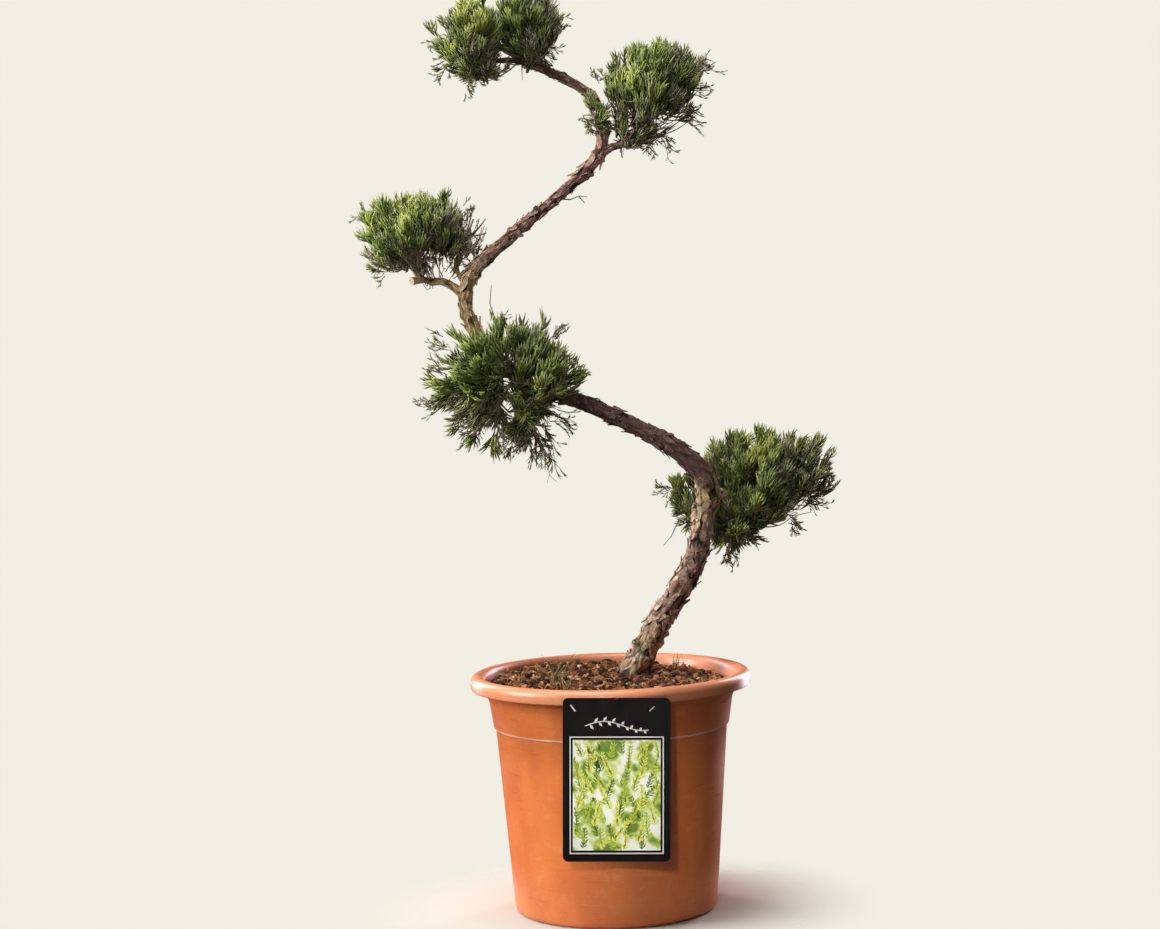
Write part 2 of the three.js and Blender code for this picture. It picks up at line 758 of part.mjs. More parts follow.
function makeSoil() {
  const inside = POT.wall + SOIL.wallGap;
  const bottom = POT.floor + SEAT;
  const profile = [
    [0, bottom],
    [POT.baseRadius - inside - SOIL.toeIn, bottom],
    [POT.baseRadius - inside, bottom + SOIL.toeRise],
    [POT.bodyTopRadius - inside, POT.stepHeight],
    [POT.collarRadius - inside, POT.collarHeight],
    [POT.collarRadius - inside + SOIL.flare, SOIL.edgeHeight - SOIL.shoulder],
    ...SOIL.ringRadii.map((radius) => [radius, SOIL.levelHeight]),
    [0, SOIL.levelHeight],
  ].map(([r, z]) => new THREE.Vector2(r, z));
  const geometry = turned(profile, POT.facets);
  const position = geometry.attributes.position;
  for (let i = 0; i < position.count; i += 1) {
    if (position.getZ(i) > SOIL.edgeHeight) {
      const x = Math.round(position.getX(i) * 10) / 10;
      const y = Math.round(position.getY(i) * 10) / 10;
      position.setZ(i, soilHeight(x, y));
    }
  }
  return meshOf("potting_mix", geometryOf(solidOf(geometry)), COLOURS.soil);
}

// The card's outline with its round corners and the hole for the peg.
function cardShape() {
  const w = CARD.width / 2;
  const h = CARD.height;
  const c = CARD.corner;
  const shape = new THREE.Shape();
  shape.moveTo(-w + c, -h);
  shape.lineTo(w - c, -h);
  shape.absarc(w - c, -h + c, c, -Math.PI / 2, 0);
  shape.lineTo(w, -c);
  shape.absarc(w - c, -c, c, 0, Math.PI / 2);
  shape.lineTo(-w + c, 0);
  shape.absarc(-w + c, -c, c, Math.PI / 2, Math.PI);
  shape.lineTo(-w, -h + c);
  shape.absarc(-w + c, -h + c, c, Math.PI, 1.5 * Math.PI);
  const hole = new THREE.Path();
  hole.absarc(0, -CARD.pegDrop, CARD.pegRadius + CARD.pegPlay, 0, 2 * Math.PI, true);
  shape.holes.push(hole);
  return shape;
}

// The card hangs from the peg, a little off square, with its back against the rim.
function makeCard() {
  const plate = new THREE.ExtrudeGeometry(cardShape(), {
    depth: CARD.thickness,
    bevelEnabled: false,
    curveSegments: 3,
  });
  plate
    .translate(0, CARD.pegDrop, 0)
    .rotateX(Math.PI / 2)
    .rotateY(-THREE.MathUtils.degToRad(CARD.swingDeg))
    .translate(CARD.centre, -POT.rimRadius - SEAT, CARD.topHeight - CARD.pegDrop);
  return meshOf("picture_card", geometryOf(solidOf(plate)), COLOURS.card);
}

function makePeg() {
  const face = -POT.rimRadius - SEAT - CARD.thickness - SEAT;
  const head = new THREE.CylinderGeometry(CARD.headRadius, CARD.headFront, CARD.headDepth, CARD.pegFacets)
    .translate(0, face - CARD.headDepth / 2, 0);
  const shank = new THREE.CylinderGeometry(CARD.pegRadius, CARD.pegRadius, CARD.pegLength, CARD.pegFacets)
    .translate(0, face + CARD.pegLength / 2 - CARD.headDepth / 2, 0);
  const peg = solidOf(head).add(solidOf(shank));
  const mesh = meshOf("card_peg", geometryOf(peg), COLOURS.card);
  mesh.position.set(CARD.centre, 0, CARD.topHeight - CARD.pegDrop);
  return mesh;
}

const tree = new THREE.Group();
tree.add(makePot(), makeSoil(), makeCard(), makePeg(), ...makeTrunk());
tree.add(...boughed.map(makeBough), ...MASSES.map(growMass));

export default tree;
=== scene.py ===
"""Looks of a juniper bonsai in its pot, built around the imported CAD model.

The trunk and boughs get bark with relief, the masses of foliage are grown again by the solids' own rule and
carried on to fine twigs and sprays, and the pot, the potting mix and the picture card get their finishes.
Values in the tables are millimetres in the part's frame. Everything made here is in metres.
"""

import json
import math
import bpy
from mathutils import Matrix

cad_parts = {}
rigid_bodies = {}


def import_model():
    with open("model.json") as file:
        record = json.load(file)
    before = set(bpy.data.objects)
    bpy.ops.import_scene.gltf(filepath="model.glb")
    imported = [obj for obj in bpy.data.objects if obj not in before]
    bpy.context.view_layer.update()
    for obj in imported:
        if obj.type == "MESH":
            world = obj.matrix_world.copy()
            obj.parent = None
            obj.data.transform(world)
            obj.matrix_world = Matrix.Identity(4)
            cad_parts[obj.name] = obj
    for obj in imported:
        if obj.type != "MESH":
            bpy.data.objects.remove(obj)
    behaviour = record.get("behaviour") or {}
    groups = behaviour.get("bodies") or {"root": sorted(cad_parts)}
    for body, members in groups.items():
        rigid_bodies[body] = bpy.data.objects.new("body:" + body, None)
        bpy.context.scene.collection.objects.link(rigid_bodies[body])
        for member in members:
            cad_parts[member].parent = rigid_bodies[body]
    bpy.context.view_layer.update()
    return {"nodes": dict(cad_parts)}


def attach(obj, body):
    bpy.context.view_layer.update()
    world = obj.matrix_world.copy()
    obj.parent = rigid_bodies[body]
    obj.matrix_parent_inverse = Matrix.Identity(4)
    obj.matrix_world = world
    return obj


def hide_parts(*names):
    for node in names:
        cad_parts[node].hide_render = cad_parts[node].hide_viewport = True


bl_info = {
    "name": "Potted juniper",
    "version": (1, 0, 0),
    "blender": (4, 5, 0),
    "location": "3D View > Sidebar > Juniper",
    "description": "Builds a juniper bonsai with bark, sprays of foliage, a pot and a picture card",
    "category": "Add Mesh",
}

from types import SimpleNamespace as Values

import bpy
import numpy as np
from bpy.props import FloatProperty, FloatVectorProperty, IntProperty, PointerProperty
from mathutils import Matrix, Vector, noise

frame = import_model()

MM = 0.001
ROUND = 2 * math.pi
GOLDEN_ANGLE = math.pi * (3 - math.sqrt(5))
UP = np.array([0, 0, 1.0])
TO_VIEWER = np.array([0.0, -1.0, 0.0])

# The pot, as its solid has it
POT = Values(
    height=238, rim=140, mouth=125.5, lip_depth=14, collar=122, collar_height=212, step_height=184,
    body_top=115.6, base=101.6, base_round=6, wall=2.8, floor=3.5, drain_holes=8, drain_radius=7,
    drain_circle=80,
)
# Edges of its outline: how far points are out and up from the top of the body, the top of the collar, the place
# where the collar meets the rim and the rim's lower edge
POT_EDGES = Values(
    step=[(0, -0.6), (0.3, 0), (2, 1.2), (2.2, 2)],
    collar=[(-0.4, -1), (0, 0)],
    neck=[(-0.6, 3.4), (0, 5)],
    lip=[(-4.2, 5), (-3.4, 4.2), (-3.2, 0.8), (-2.6, 0), (-1.2, 0), (-0.5, 0.7)],
)
# Turned shapes end this far from the upright axis
AXIS = 0.01
# The heights between which the pot's step gets a painted pale highlight, and above which its rim is paled by a
# painted sheen
STEP_HIGHLIGHT = Values(start=183.8, full=184.8, fading=185.5, end=186.8)
RIM_SHEEN = Values(start=222, full=228, share=0.28)

# The potting mix: level round the trunk's foot, falling a little towards the wall. Its underside and the depth
# of its bed and of the crumbs' surface under its top. Its lumps: how wide, their layer of noise, how high
SOIL = Values(
    edge=226, level=232, level_reach=34, mound_reach=95, radius=120.6, heap=8, bed_depth=4.5, crumb_depth=3.2,
    underside=[(111.5, 184), (98, 12), (92, 4)], lumps=[(14, 3, 2.4), (5, 8, 1.6)],
)
# Chips: the rings of the surface that they are strewn on, and each colour's share and size
CHIP_RINGS = (AXIS, 30, 60, 90, 117)
CHIPS = [("red", 1.0, 1.0), ("dark", 0.9, 1.1), ("tan", 0.9, 0.85), ("pale", 0.35, 0.7)]
# Curled fibres on the mix, and the steps and radii of blades
COIR = Values(number=120, spread=116, limit=119, radii=[0.4, 0.45, 0.35, 0.12])
BLADE_STEPS = (0, 0.35, 0.7, 1)
BLADE_RADII = [0.6, 0.6, 0.4, 0.12]
# Tufts of blades: where they stand, how many, how tall, the share of green ones
TUFTS = [
    ((-54, -10), 18, 30, 0.5), ((-46, -30), 8, 16, 0.4), ((70, 60), 8, 18, 0.5), ((88, -22), 6, 12, 0.4),
    ((-86, -2), 5, 10, 0.3), ((24, -50), 4, 10, 0.6),
]

# The picture card: it hangs from the peg, swung a little (degrees). Its white line, its picture and the
# thickness of the printed layers
CARD = Values(
    peg=(4, 228), face=-141.2, swing=1.6, line=(89, 112), line_width=1.1, picture=(83, 105.4), middle=-89,
    ink=0.12, ground=0.1, layer=0.03,
)
# The sprigs of the card's picture: how many, their steps, the steps' length, the width of their leaves, the
# margin that they keep, and the way from one sprig to the next across and up, as shares of the picture
SPRIGS = Values(number=58, steps=9, step=2.9, leaf=1.7, margin=0.3, spread=(0.754878, 0.56984))
# Two strokes beside the peg, and the small sprig over the picture: where its stem starts, its run, its wave, the
# width of its strokes, the length and width of its leaves and how far they lean
STROKES = [((-43.5, -3), (-39, -9), 1.3), ((31, -9), (35.5, -4.5), 0.7)]
SPRIG = Values(start=(-30, -23), run=60, high=4.5, wave=5.2, points=15, stroke=0.9, leaf=(6.5, 2.6), lean=0.9)

# The trunk's line from the mix to its fork at the top, each point with the radius of the wood there
TRUNK = [
    (25, 35, 232.3, 12.3), (52, 27, 284, 11.6), (73, 21, 316, 11.3), (89, 16, 347, 10.7), (98, 8, 388, 10.6),
    (102, -3, 425, 11.4), (76, -5, 454.5, 9.4), (46, 0, 474, 8.1), (-12, 8, 503.5, 7.7), (-77, 12, 532, 7.4),
    (-113, 6, 562, 7.2), (-134, 0, 612, 6.5), (-123, -1, 641, 6.6), (-87, -4, 673, 5.7), (-45, -6, 706, 5.1),
    (2, -2, 750, 6.3), (8, 2, 779, 4.8), (1, 5, 806, 4.4), (-23, 7, 825, 4.7), (-60, 4, 842, 3.8),
]
TRUNK_NODES = ("trunk_foot", "trunk_second", "trunk_third", "trunk_fourth", "trunk_leader")
ROOT_FLARE = Values(rise=18, out=3.4, lobes=5, lobe_depth=0.16, below=14)

# The bark's pattern: how wide and how long its lumps, wobbles, scales and strands are, with the shift of their
# noise. How wide its cracks are, as a share of a scale, and which share of the scales stays flat
BARK = Values(
    lump=(8, 13, 0), wobble=(6, 9, 9), wobbling=2.6, scale=(6.5, 15), strand=(1.9, 14, 31), crack=0.34,
    flat=0.78,
)
# Mesh of the boughs' bark, how thin a bough gets, and the girth that the bark's pattern is wrapped round
BOUGH_SPACING = 1.1
BOUGH_SIDES = 28
BOUGH_TAPER = 0.45
BARK_MAP = Values(trunk=9, bough=4)
FLAKE_THICKNESS = 0.05

# Knots, stubs and swellings of the bark, seen from the front: x, z, how wide and how far they stand out
KNOTS = [
    (31, 496, 5, 3.0), (61, 478, 6, 3.2), (81, 465, 5, 2.6), (-20, 708, 4, 4.2), (-88, 682, 4, 3.4),
    (33, 277, 5, 2.4), (27, 262, 5, 2.6), (47, 292, 5, 2.0), (104, 350, 5, 4.6), (66, 320, 5, 2.2),
    (62, 300, 4, 2.6), (84, 330, 4, 2.4), (-128, 618, 5, 2.0), (-118, 636, 4, 2.4), (90, 400, 8, 2.6),
    (110, 404, 9, 2.6), (100, 424, 7, 2.8), (-60, 700, 4, 2.2), (-40, 842, 4, 1.8), (-28, 834, 4, 1.8),
]

# Bark along the trunk: the share of its length, the colour there and the share of pale scales
BARK_ZONES = [
    (0.0, "#A3866E", 1.0), (0.05, "#A8926C", 0.9), (0.1, "#9E7E6C", 0.85), (0.14, "#916C5C", 0.6),
    (0.19, "#94745F", 0.55), (0.22, "#C2A680", 0.85), (0.25, "#AA8E64", 0.6), (0.28, "#684A43", 0.15),
    (0.42, "#5B413C", 0.1), (0.52, "#6E563F", 0.25), (0.58, "#C0A06C", 0.5), (0.65, "#B89966", 0.6),
    (0.69, "#A27865", 0.45), (0.85, "#A67766", 0.45), (0.93, "#836250", 0.3), (1.0, "#6C4E3E", 0.2),
]

# The sawn stub of a bough on the left: the middle and radius of its rings
STUB = [(-175, 3, 633.5, 3.4), (-181, -3, 632.8, 3.9), (-185.5, -6, 632, 4.1)]

# Each mass: its solid's kind, seed and number of tufts, how loose it is, the share of its bough that is bare
# and the bough's radius, how far its sprays turn up, how far out its twigs end, its bough's line from the trunk
# to the hub, and where its sprays flow from. The lobes of space that it fills, each with its middle, its size
# and its outline as seen from the front, in percent of that size at 16 angles from the right over the top. Its
# thin places (x, z, radius, share that is left) and its sunlit ones (x, z, radius, share of fresh sprays).
MASSES = [
    Values(
        name="low_main", kind="dense", seed=3, sprigs=58, loose=0, bare=0.36, radius=6, lift=0.6,
        edge=(0.8, 1.14),
        line=[(103, -2, 412), (120, 12, 410), (140, 30, 410)], source=(128, 26, 380),
        lobes=[
            ((162, 38, 427), (72, 62, 46),
            (115, 130, 135, 125, 125, 120, 125, 110, 100, 100, 100, 100, 100, 120, 120, 100)),
            ((131, 34, 386), (44, 48, 35),
            (100, 100, 100, 100, 100, 100, 100, 100, 100, 110, 110, 135, 120, 135, 135, 110)),
        ],
        thin=[(212, 396, 30, 0.2), (232, 440, 18, 0.4), (150, 352, 16, 0.35), (184, 372, 22, 0.2)],
        sunlit=[(152, 462, 24, 0.7), (146, 415, 18, 0.55), (133, 372, 18, 0.5)],
    ),
    Values(
        name="low_left", kind="open", seed=7, sprigs=15, loose=0.6, bare=0.55, radius=3.6, lift=0.3,
        edge=(0.75, 1.04),
        line=[(98, 6, 392), (91, 20, 394), (84, 34, 400)], source=(96, 30, 392),
        lobes=[
            ((82, 42, 402), (31, 32, 40),
            (100, 100, 100, 100, 100, 130, 105, 105, 70, 75, 85, 100, 95, 100, 100, 100)),
        ],
        thin=[(62, 376, 18, 0.4), (56, 400, 12, 0.6)], sunlit=[],
    ),
    Values(
        name="mid_left", kind="dense", seed=11, sprigs=44, loose=1.0, bare=0.45, radius=4.2, lift=0.0,
        edge=(0.7, 1.15),
        line=[(-94, 10, 545), (-107, 3, 541), (-122, -3, 532)], source=(-96, 2, 540),
        lobes=[
            ((-131, -6, 527), (49, 58, 64),
            (100, 100, 100, 100, 100, 130, 60, 105, 120, 90, 120, 110, 130, 130, 100, 100)),
        ],
        thin=[(-168, 480, 20, 0.6), (-176, 566, 22, 0.5), (-116, 468, 14, 0.8)],
        sunlit=[(-134, 560, 22, 0.6), (-140, 512, 26, 0.5)],
    ),
    Values(
        name="mid_right", kind="dense", seed=14, sprigs=50, loose=1.0, bare=0.45, radius=4.4, lift=0.25,
        edge=(0.74, 1.14),
        line=[(-60, 12, 522), (-62, 13, 534), (-58, 12, 547)], source=(-84, 6, 508),
        lobes=[
            ((-56, 2, 539), (45, 54, 49),
            (105, 110, 95, 75, 90, 100, 100, 100, 100, 100, 100, 100, 100, 110, 95, 115)),
            ((-84, 4, 577), (42, 42, 29),
            (90, 75, 115, 120, 75, 105, 135, 105, 100, 100, 100, 100, 100, 100, 100, 100)),
        ],
        thin=[(-84, 604, 18, 0.5), (-30, 500, 22, 0.3), (-22, 556, 16, 0.5), (-80, 520, 18, 0.4)],
        sunlit=[(-50, 528, 26, 0.3), (-52, 572, 20, 0.25), (-72, 545, 14, 0.35)],
    ),
    Values(
        name="mid_tail", kind="open", seed=17, sprigs=14, loose=1.0, bare=0.5, radius=3.8, lift=-0.1,
        edge=(0.6, 1.04),
        line=[(-70, 12, 528), (-70, 7, 512), (-71, 3, 494)], source=(-80, 6, 532),
        lobes=[
            ((-68, 2, 474), (35, 34, 44),
            (65, 75, 95, 100, 100, 100, 100, 105, 100, 135, 115, 100, 115, 100, 75, 70)),
        ],
        thin=[(-44, 468, 24, 0.15), (-66, 440, 26, 0.15)], sunlit=[(-88, 484, 14, 0.8)],
    ),
    Values(
        name="left_main", kind="dense", seed=23, sprigs=44, loose=0, bare=0.6, radius=4.6, lift=0.5,
        edge=(0.8, 1.12),
        line=[(-134, 0, 616), (-152, 0, 630), (-174, 2, 634), (-190, 5, 652)], source=(-166, 3, 630),
        lobes=[
            ((-182, 5, 682), (56, 50, 42),
            (100, 105, 130, 105, 115, 100, 130, 115, 100, 130, 110, 125, 115, 100, 105, 100)),
        ],
        thin=[
            (-196, 647, 24, 0.12), (-160, 652, 30, 0.08), (-178, 660, 22, 0.2), (-218, 652, 14, 0.6),
            (-152, 626, 14, 0), (-172, 624, 12, 0), (-190, 622, 12, 0),
        ],
        sunlit=[(-192, 706, 24, 0.7), (-226, 674, 20, 0.4), (-216, 650, 14, 0.35)],
    ),
    Values(
        name="left_inner", kind="open", seed=29, sprigs=13, loose=0.6, bare=0.5, radius=3, lift=0.4,
        edge=(0.6, 1.04),
        line=[(-132, 0, 626), (-141, 7, 643), (-138, 18, 664)], source=(-140, 8, 632),
        lobes=[
            ((-128, 24, 684), (33, 38, 32),
            (95, 80, 80, 105, 100, 115, 105, 100, 100, 100, 100, 105, 110, 105, 95, 90)),
        ],
        thin=[(-118, 676, 44, 0.22)], sunlit=[],
    ),
    Values(
        name="right_main", kind="dense", seed=31, sprigs=56, loose=0, bare=0.5, radius=4.8, lift=0.5,
        edge=(0.78, 1.14),
        line=[(2, -3, 750), (15, -3, 758), (30, -1, 762), (48, 3, 780)], source=(28, 0, 762),
        lobes=[
            ((62, 5, 814), (53, 54, 54),
            (75, 105, 110, 115, 115, 115, 100, 110, 100, 100, 100, 100, 80, 80, 75, 95)),
            ((44, 2, 777), (38, 38, 27),
            (85, 100, 100, 100, 100, 100, 100, 100, 100, 100, 120, 60, 60, 90, 60, 75)),
        ],
        thin=[
            (36, 770, 30, 0.12), (64, 774, 24, 0.2), (92, 780, 26, 0.12), (20, 800, 18, 0.3),
            (104, 800, 14, 0.4),
        ],
        sunlit=[(36, 834, 22, 0.6), (52, 800, 16, 0.5), (70, 785, 12, 0.5)],
    ),
    Values(
        name="right_sleeve", kind="open", seed=39, sprigs=14, loose=0.6, bare=0, radius=2.4, lift=0.4,
        edge=(0.5, 1.02),
        line=[(8, 1, 771), (2, -9, 774), (0, -12, 786)], source=(0, -12, 786),
        lobes=[
            ((3, -3, 788), (24, 28, 36),
            (100, 100, 100, 105, 100, 105, 80, 70, 65, 75, 95, 85, 95, 100, 100, 100)),
        ],
        thin=[(-6, 786, 26, 0.3)], sunlit=[],
    ),
    Values(
        name="top_left", kind="dense", seed=41, sprigs=36, loose=0, bare=0.6, radius=3.4, lift=0.45,
        edge=(0.78, 1.12),
        line=[(-57, 5, 841), (-80, 3, 847), (-98, 1, 847), (-116, 0, 856)], source=(-112, 2, 836),
        lobes=[
            ((-122, 0, 872), (36, 44, 50),
            (110, 105, 110, 100, 95, 80, 85, 130, 115, 110, 95, 100, 105, 115, 120, 110)),
        ],
        thin=[(-152, 884, 12, 0.4), (-158, 852, 10, 0.6), (-112, 828, 16, 0.6)],
        sunlit=[(-118, 896, 26, 0.9), (-142, 862, 16, 0.6)],
    ),
    Values(
        name="top_right", kind="dense", seed=43, sprigs=37, loose=0, bare=0.4, radius=3.2, lift=0.5,
        edge=(0.76, 1.12),
        line=[(-53, 5, 840), (-58, 8, 852), (-62, 8, 868)], source=(-60, 8, 846),
        lobes=[
            ((-62, 8, 884), (40, 46, 48),
            (105, 95, 90, 90, 95, 95, 105, 110, 115, 115, 110, 95, 95, 90, 75, 70)),
        ],
        thin=[(-34, 862, 16, 0.35), (-26, 890, 12, 0.5), (-78, 842, 14, 0.5)], sunlit=[(-70, 872, 14, 0.45)],
    ),
]

# How the rule of growth is carried on. FURTHEST is how far out of a lobe its twigs may end, and SHARED how far
# into the next mass's space. LIMB_CLEAR is their gap to bare wood, which is sampled every LIMB_STEP. Sprays have
# their full length in a MIDDLING_LOBE. TWIG_AREA is a lobe's surface for one twig, and BRANCHES how many are
# tried in a lobe. INNER_SHARE is the share of twigs that end inside, BARE_SHARE that of dry twigs kept in thin
# places, and TUFT_REACH how far a tuft spreads
FURTHEST = 1.15
SHARED = 0.22
LIMB_CLEAR = 2.0
LIMB_STEP = 2.5
MIDDLING_LOBE = 46
TWIG_AREA = {"dense": 112, "open": 120}
BRANCHES = {"dense": 14, "open": 9}
INNER_SHARE = 0.5
BARE_SHARE = 0.48
TUFT_REACH = 17
OUTLINE_STEPS = 16
BRANCH_STEPS = 10
TWIG_STEPS = 5
TWIG_SIDES = 3
WISP_STEPS = 6
TRIANGLES_A_PIECE = 190000
TRIANGLES_A_CORD = 16

# Radius of each kind of wood at its start and its end
WOOD = Values(leader=(2.4, 1.1), branch=(1.5, 0.75), twig=(0.85, 0.4), wisp=(0.65, 0.3), shoot=(0.42, 0.25))
# Seeds of what grows at random
SEEDS = Values(flakes=3, blade=7, leaf=21, spray=100, chip=300, flake=500, shade=500, wisp_shade=899, wisp=900)

# The sprays of a twig: where on it they start, how far they lean and how much of the way to its tip they go
SPRAYS = [(1.0, 0.0, 1.0), (0.78, 0.34, 0.96), (0.52, 0.5, 0.9)]

# Small places where the sky shows through, seen from the front: x, z, radius
SKY_GAPS = [
    (-93, 564, 4), (-88, 535, 4), (-96, 530, 4), (-75, 514, 4), (-97, 508, 3), (-61, 477, 4), (-70, 469, 3),
    (-155, 494, 3), (-155, 569, 3), (-123, 466, 3), (-152, 537, 3), (-152, 553, 3), (-136, 470, 3),
    (-51, 479, 3), (-42, 495, 3), (-110, 478, 3), (-129, 651, 5), (-151, 637, 4), (-110, 676, 4),
    (-187, 638, 4), (-169, 653, 4), (-131, 642, 3), (-142, 642, 3), (-130, 688, 3), (-198, 642, 3),
    (-138, 656, 3), (-163, 641, 3), (-154, 649, 3), (-120, 683, 3), (13, 803, 4), (8, 811, 4), (14, 764, 3),
    (-2, 786, 3), (36, 793, 3), (-44, 867, 3), (-148, 878, 3), (92, 379, 3), (80, 388, 3), (79, 402, 3),
    (171, 373, 3), (222, 424, 3), (37, 792, 4), (70, 787, 4), (45, 776, 3), (31, 781, 3), (87, 795, 3),
    (58, 781, 3),
]

# Hollows in the front of the masses, where it is dark between the sprays: x, z, radius, depth
HOLLOWS = [
    (-95, 876, 14, 44), (-92, 852, 11, 36), (-97, 549, 15, 34), (-117, 562, 10, 24), (-72, 560, 9, 20),
    (47, 826, 9, 34), (75, 806, 9, 30), (44, 800, 8, 24), (148, 438, 11, 30), (176, 406, 13, 32),
    (203, 450, 13, 30), (112, 450, 12, 24), (-150, 688, 9, 28), (-178, 668, 11, 26), (-146, 522, 10, 22),
]

# Thin dry twigs that stand out of the masses and the bark, as lines of points
STRAYS = [
    [(-38, -2, 709), (-26, -6, 708), (-18, -8, 711), (-9, -9, 710)], [(-18, -8, 711), (-12, -10, 704)],
    [(92, 2, 820), (104, 0, 831), (111, 0, 843), (115, 0, 851)], [(111, 0, 843), (119, 0, 840)],
    [(50, 0, 772), (53, -2, 762), (52, -4, 748)], [(53, -2, 758), (60, -4, 749)],
    [(54, -2, 760), (47, -4, 751)], [(84, 0, 786), (98, -4, 777), (111, -6, 780)],
    [(116, 28, 372), (122, 24, 354), (117, 22, 341)], [(122, 24, 352), (134, 22, 344)],
    [(122, 24, 354), (127, 22, 335)], [(-72, 4, 846), (-84, 0, 836), (-96, -2, 829), (-112, -4, 825)],
    [(-70, 4, 842), (-70, 0, 827)], [(-104, 2, 590), (-109, 0, 608), (-107, 0, 626)],
    [(74, 36, 384), (66, 34, 368), (58, 34, 359)], [(-208, 2, 650), (-219, 0, 646), (-224, 0, 636)],
]

# Wisps: bare and thinly leaved twigs that fan out of the masses, each fan with its root, its heading in degrees
# from right over the top, half its spread, the length of its twigs and their number
WISPS = [
    ((-68, 2, 483), -70, 20, 47, 13), ((-93, 0, 480), -108, 32, 19, 9), ((-126, -6, 487), -138, 34, 20, 14),
    ((-161, -6, 512), -168, 34, 17, 12), ((-154, -6, 547), 152, 34, 16, 9), ((-152, -4, 567), 148, 30, 12, 6),
    ((-47, 0, 494), -28, 26, 23, 9), ((-100, 2, 587), 84, 46, 11, 9), ((-44, 4, 572), 44, 40, 11, 8),
    ((-27, 4, 537), 8, 40, 9, 7), ((219, 38, 427), -6, 46, 13, 14), ((200, 38, 403), -24, 34, 19, 12),
    ((185, 36, 381), -44, 36, 12, 9), ((123, 28, 357), -80, 46, 17, 9), ((68, 42, 414), 180, 60, 9, 9),
    ((-140, 20, 660), 46, 52, 27, 14), ((-150, 10, 637), 78, 44, 30, 9), ((-136, 20, 698), 30, 40, 9, 6),
    ((-213, 4, 646), 196, 44, 10, 7), ((-229, 4, 700), 150, 60, 6, 6), ((106, 2, 836), 24, 50, 12, 9),
    ((103, 2, 815), 0, 44, 11, 9), ((87, 2, 791), -16, 36, 19, 12), ((61, 2, 771), -42, 36, 17, 8),
    ((54, 0, 765), -86, 12, 17, 3), ((-2, -4, 784), 190, 56, 9, 8), ((9, -4, 825), 138, 60, 9, 6),
    ((-37, 8, 880), -16, 60, 11, 9), ((-52, 8, 861), -26, 40, 16, 10), ((-86, 6, 848), -102, 52, 11, 9),
    ((-122, 2, 827), -60, 70, 9, 8), ((-150, 0, 865), 184, 52, 10, 9), ((-145, 0, 843), 206, 40, 10, 8),
]

# Shades of the sprays, each with its colour in the settings. They are partly the sprays' age and partly painted
# light: fresh sprays go where the crown is lit, deep and dull ones where shade falls
SHADES = ("fresh", "leaf", "deep", "shaded")

# The photo's camera, worked out from the pot's ellipses and sides: focal length and width in pixels, place,
# how far it looks down and how far it is turned (degrees)
CAMERA = Values(focal=2412, width=1160, sensor=36, at=(-24.1, -2400, 576.1), down=3.12, roll=-1.66)

# The floor: solid near the pot, gone further out, half its width. The soft boxes: place, height of the aim, size
# (metres), share of the power and tint. The spots: place, aim, angle, softness of the edge and of the light
FLOOR = Values(solid=100, gone=280, half=500)
SOFT_BOXES = [
    ("key", (-2300, -560, 1080), 430, (1.1, 1.4), 1.0, "white"),
    ("top", (-500, -300, 2700), 400, (1.6, 1.6), 1.0, "white"),
    ("fill", (100, -1900, 2300), 300, (1.6, 1.6), 1.0, "edge_tint"),
    ("edge_left", (-1350, 1500, 800), 400, (0.5, 1.8), 0.8, "edge_tint"),
    ("edge_right", (1250, 1750, 700), 400, (0.5, 1.8), 1.0, "edge_tint"),
]
SPOTS = [
    ("card_light", (-190, -1350, 640), (-2, -141, 138), 7.3, 0.75, 0.09),
    ("crown_light", (650, -2350, 180), (-10, 0, 680), 17, 1.0, 0.5),
]


def linear(code, alpha=1.0):
    """An sRGB colour such as #C46A3A as linear values."""
    parts = [int(code[i : i + 2], 16) / 255 for i in (1, 3, 5)]
    return tuple(c / 12.92 if c <= 0.04045 else ((c + 0.055) / 1.055) ** 2.4 for c in parts) + (alpha,)


def darker(tone, share):
    """A linear colour with only a share of its light."""
    return tuple(c * share for c in tone[:3]) + (1,)


def chance(seed, index):
    """Repeatable numbers from 0 to 1 for a seed and an index, as the solids have them."""
    wave = np.sin(seed * 12.9898 + np.asarray(index, float) * 78.233) * 43758.5453
    return wave - np.floor(wave)


def smoothstep(value, low=0.0, high=1.0):
    """A smooth rise from 0 at the low value to 1 at the high one."""
    t = np.clip((value - low) / (high - low), 0, 1)
    return t * t * (3 - 2 * t)


def unit(vectors):
    """Vectors made one long."""
    return vectors / np.maximum(np.linalg.norm(vectors, axis=-1, keepdims=True), 1e-9)


def circle(sides, radius, height):
    """Points round the upright axis."""
    return [(radius * math.cos(t), radius * math.sin(t), height) for t in np.arange(sides) / sides * ROUND]


def near_spot(points, x, z, radius, inner, outer):
    """How near points are to a spot seen from the front, from 1 inside it to 0 outside."""
    return 1 - smoothstep(np.hypot(points[:, 0] - x, points[:, 2] - z) / radius, inner, outer)


def between(t, low, high, start, end):
    """The mix of a start at the low place and an end at the high one, for places t."""
    return ((high - t) * start + (t - low) * end) / (high - low)


# ---- Lines, tubes and meshes ----


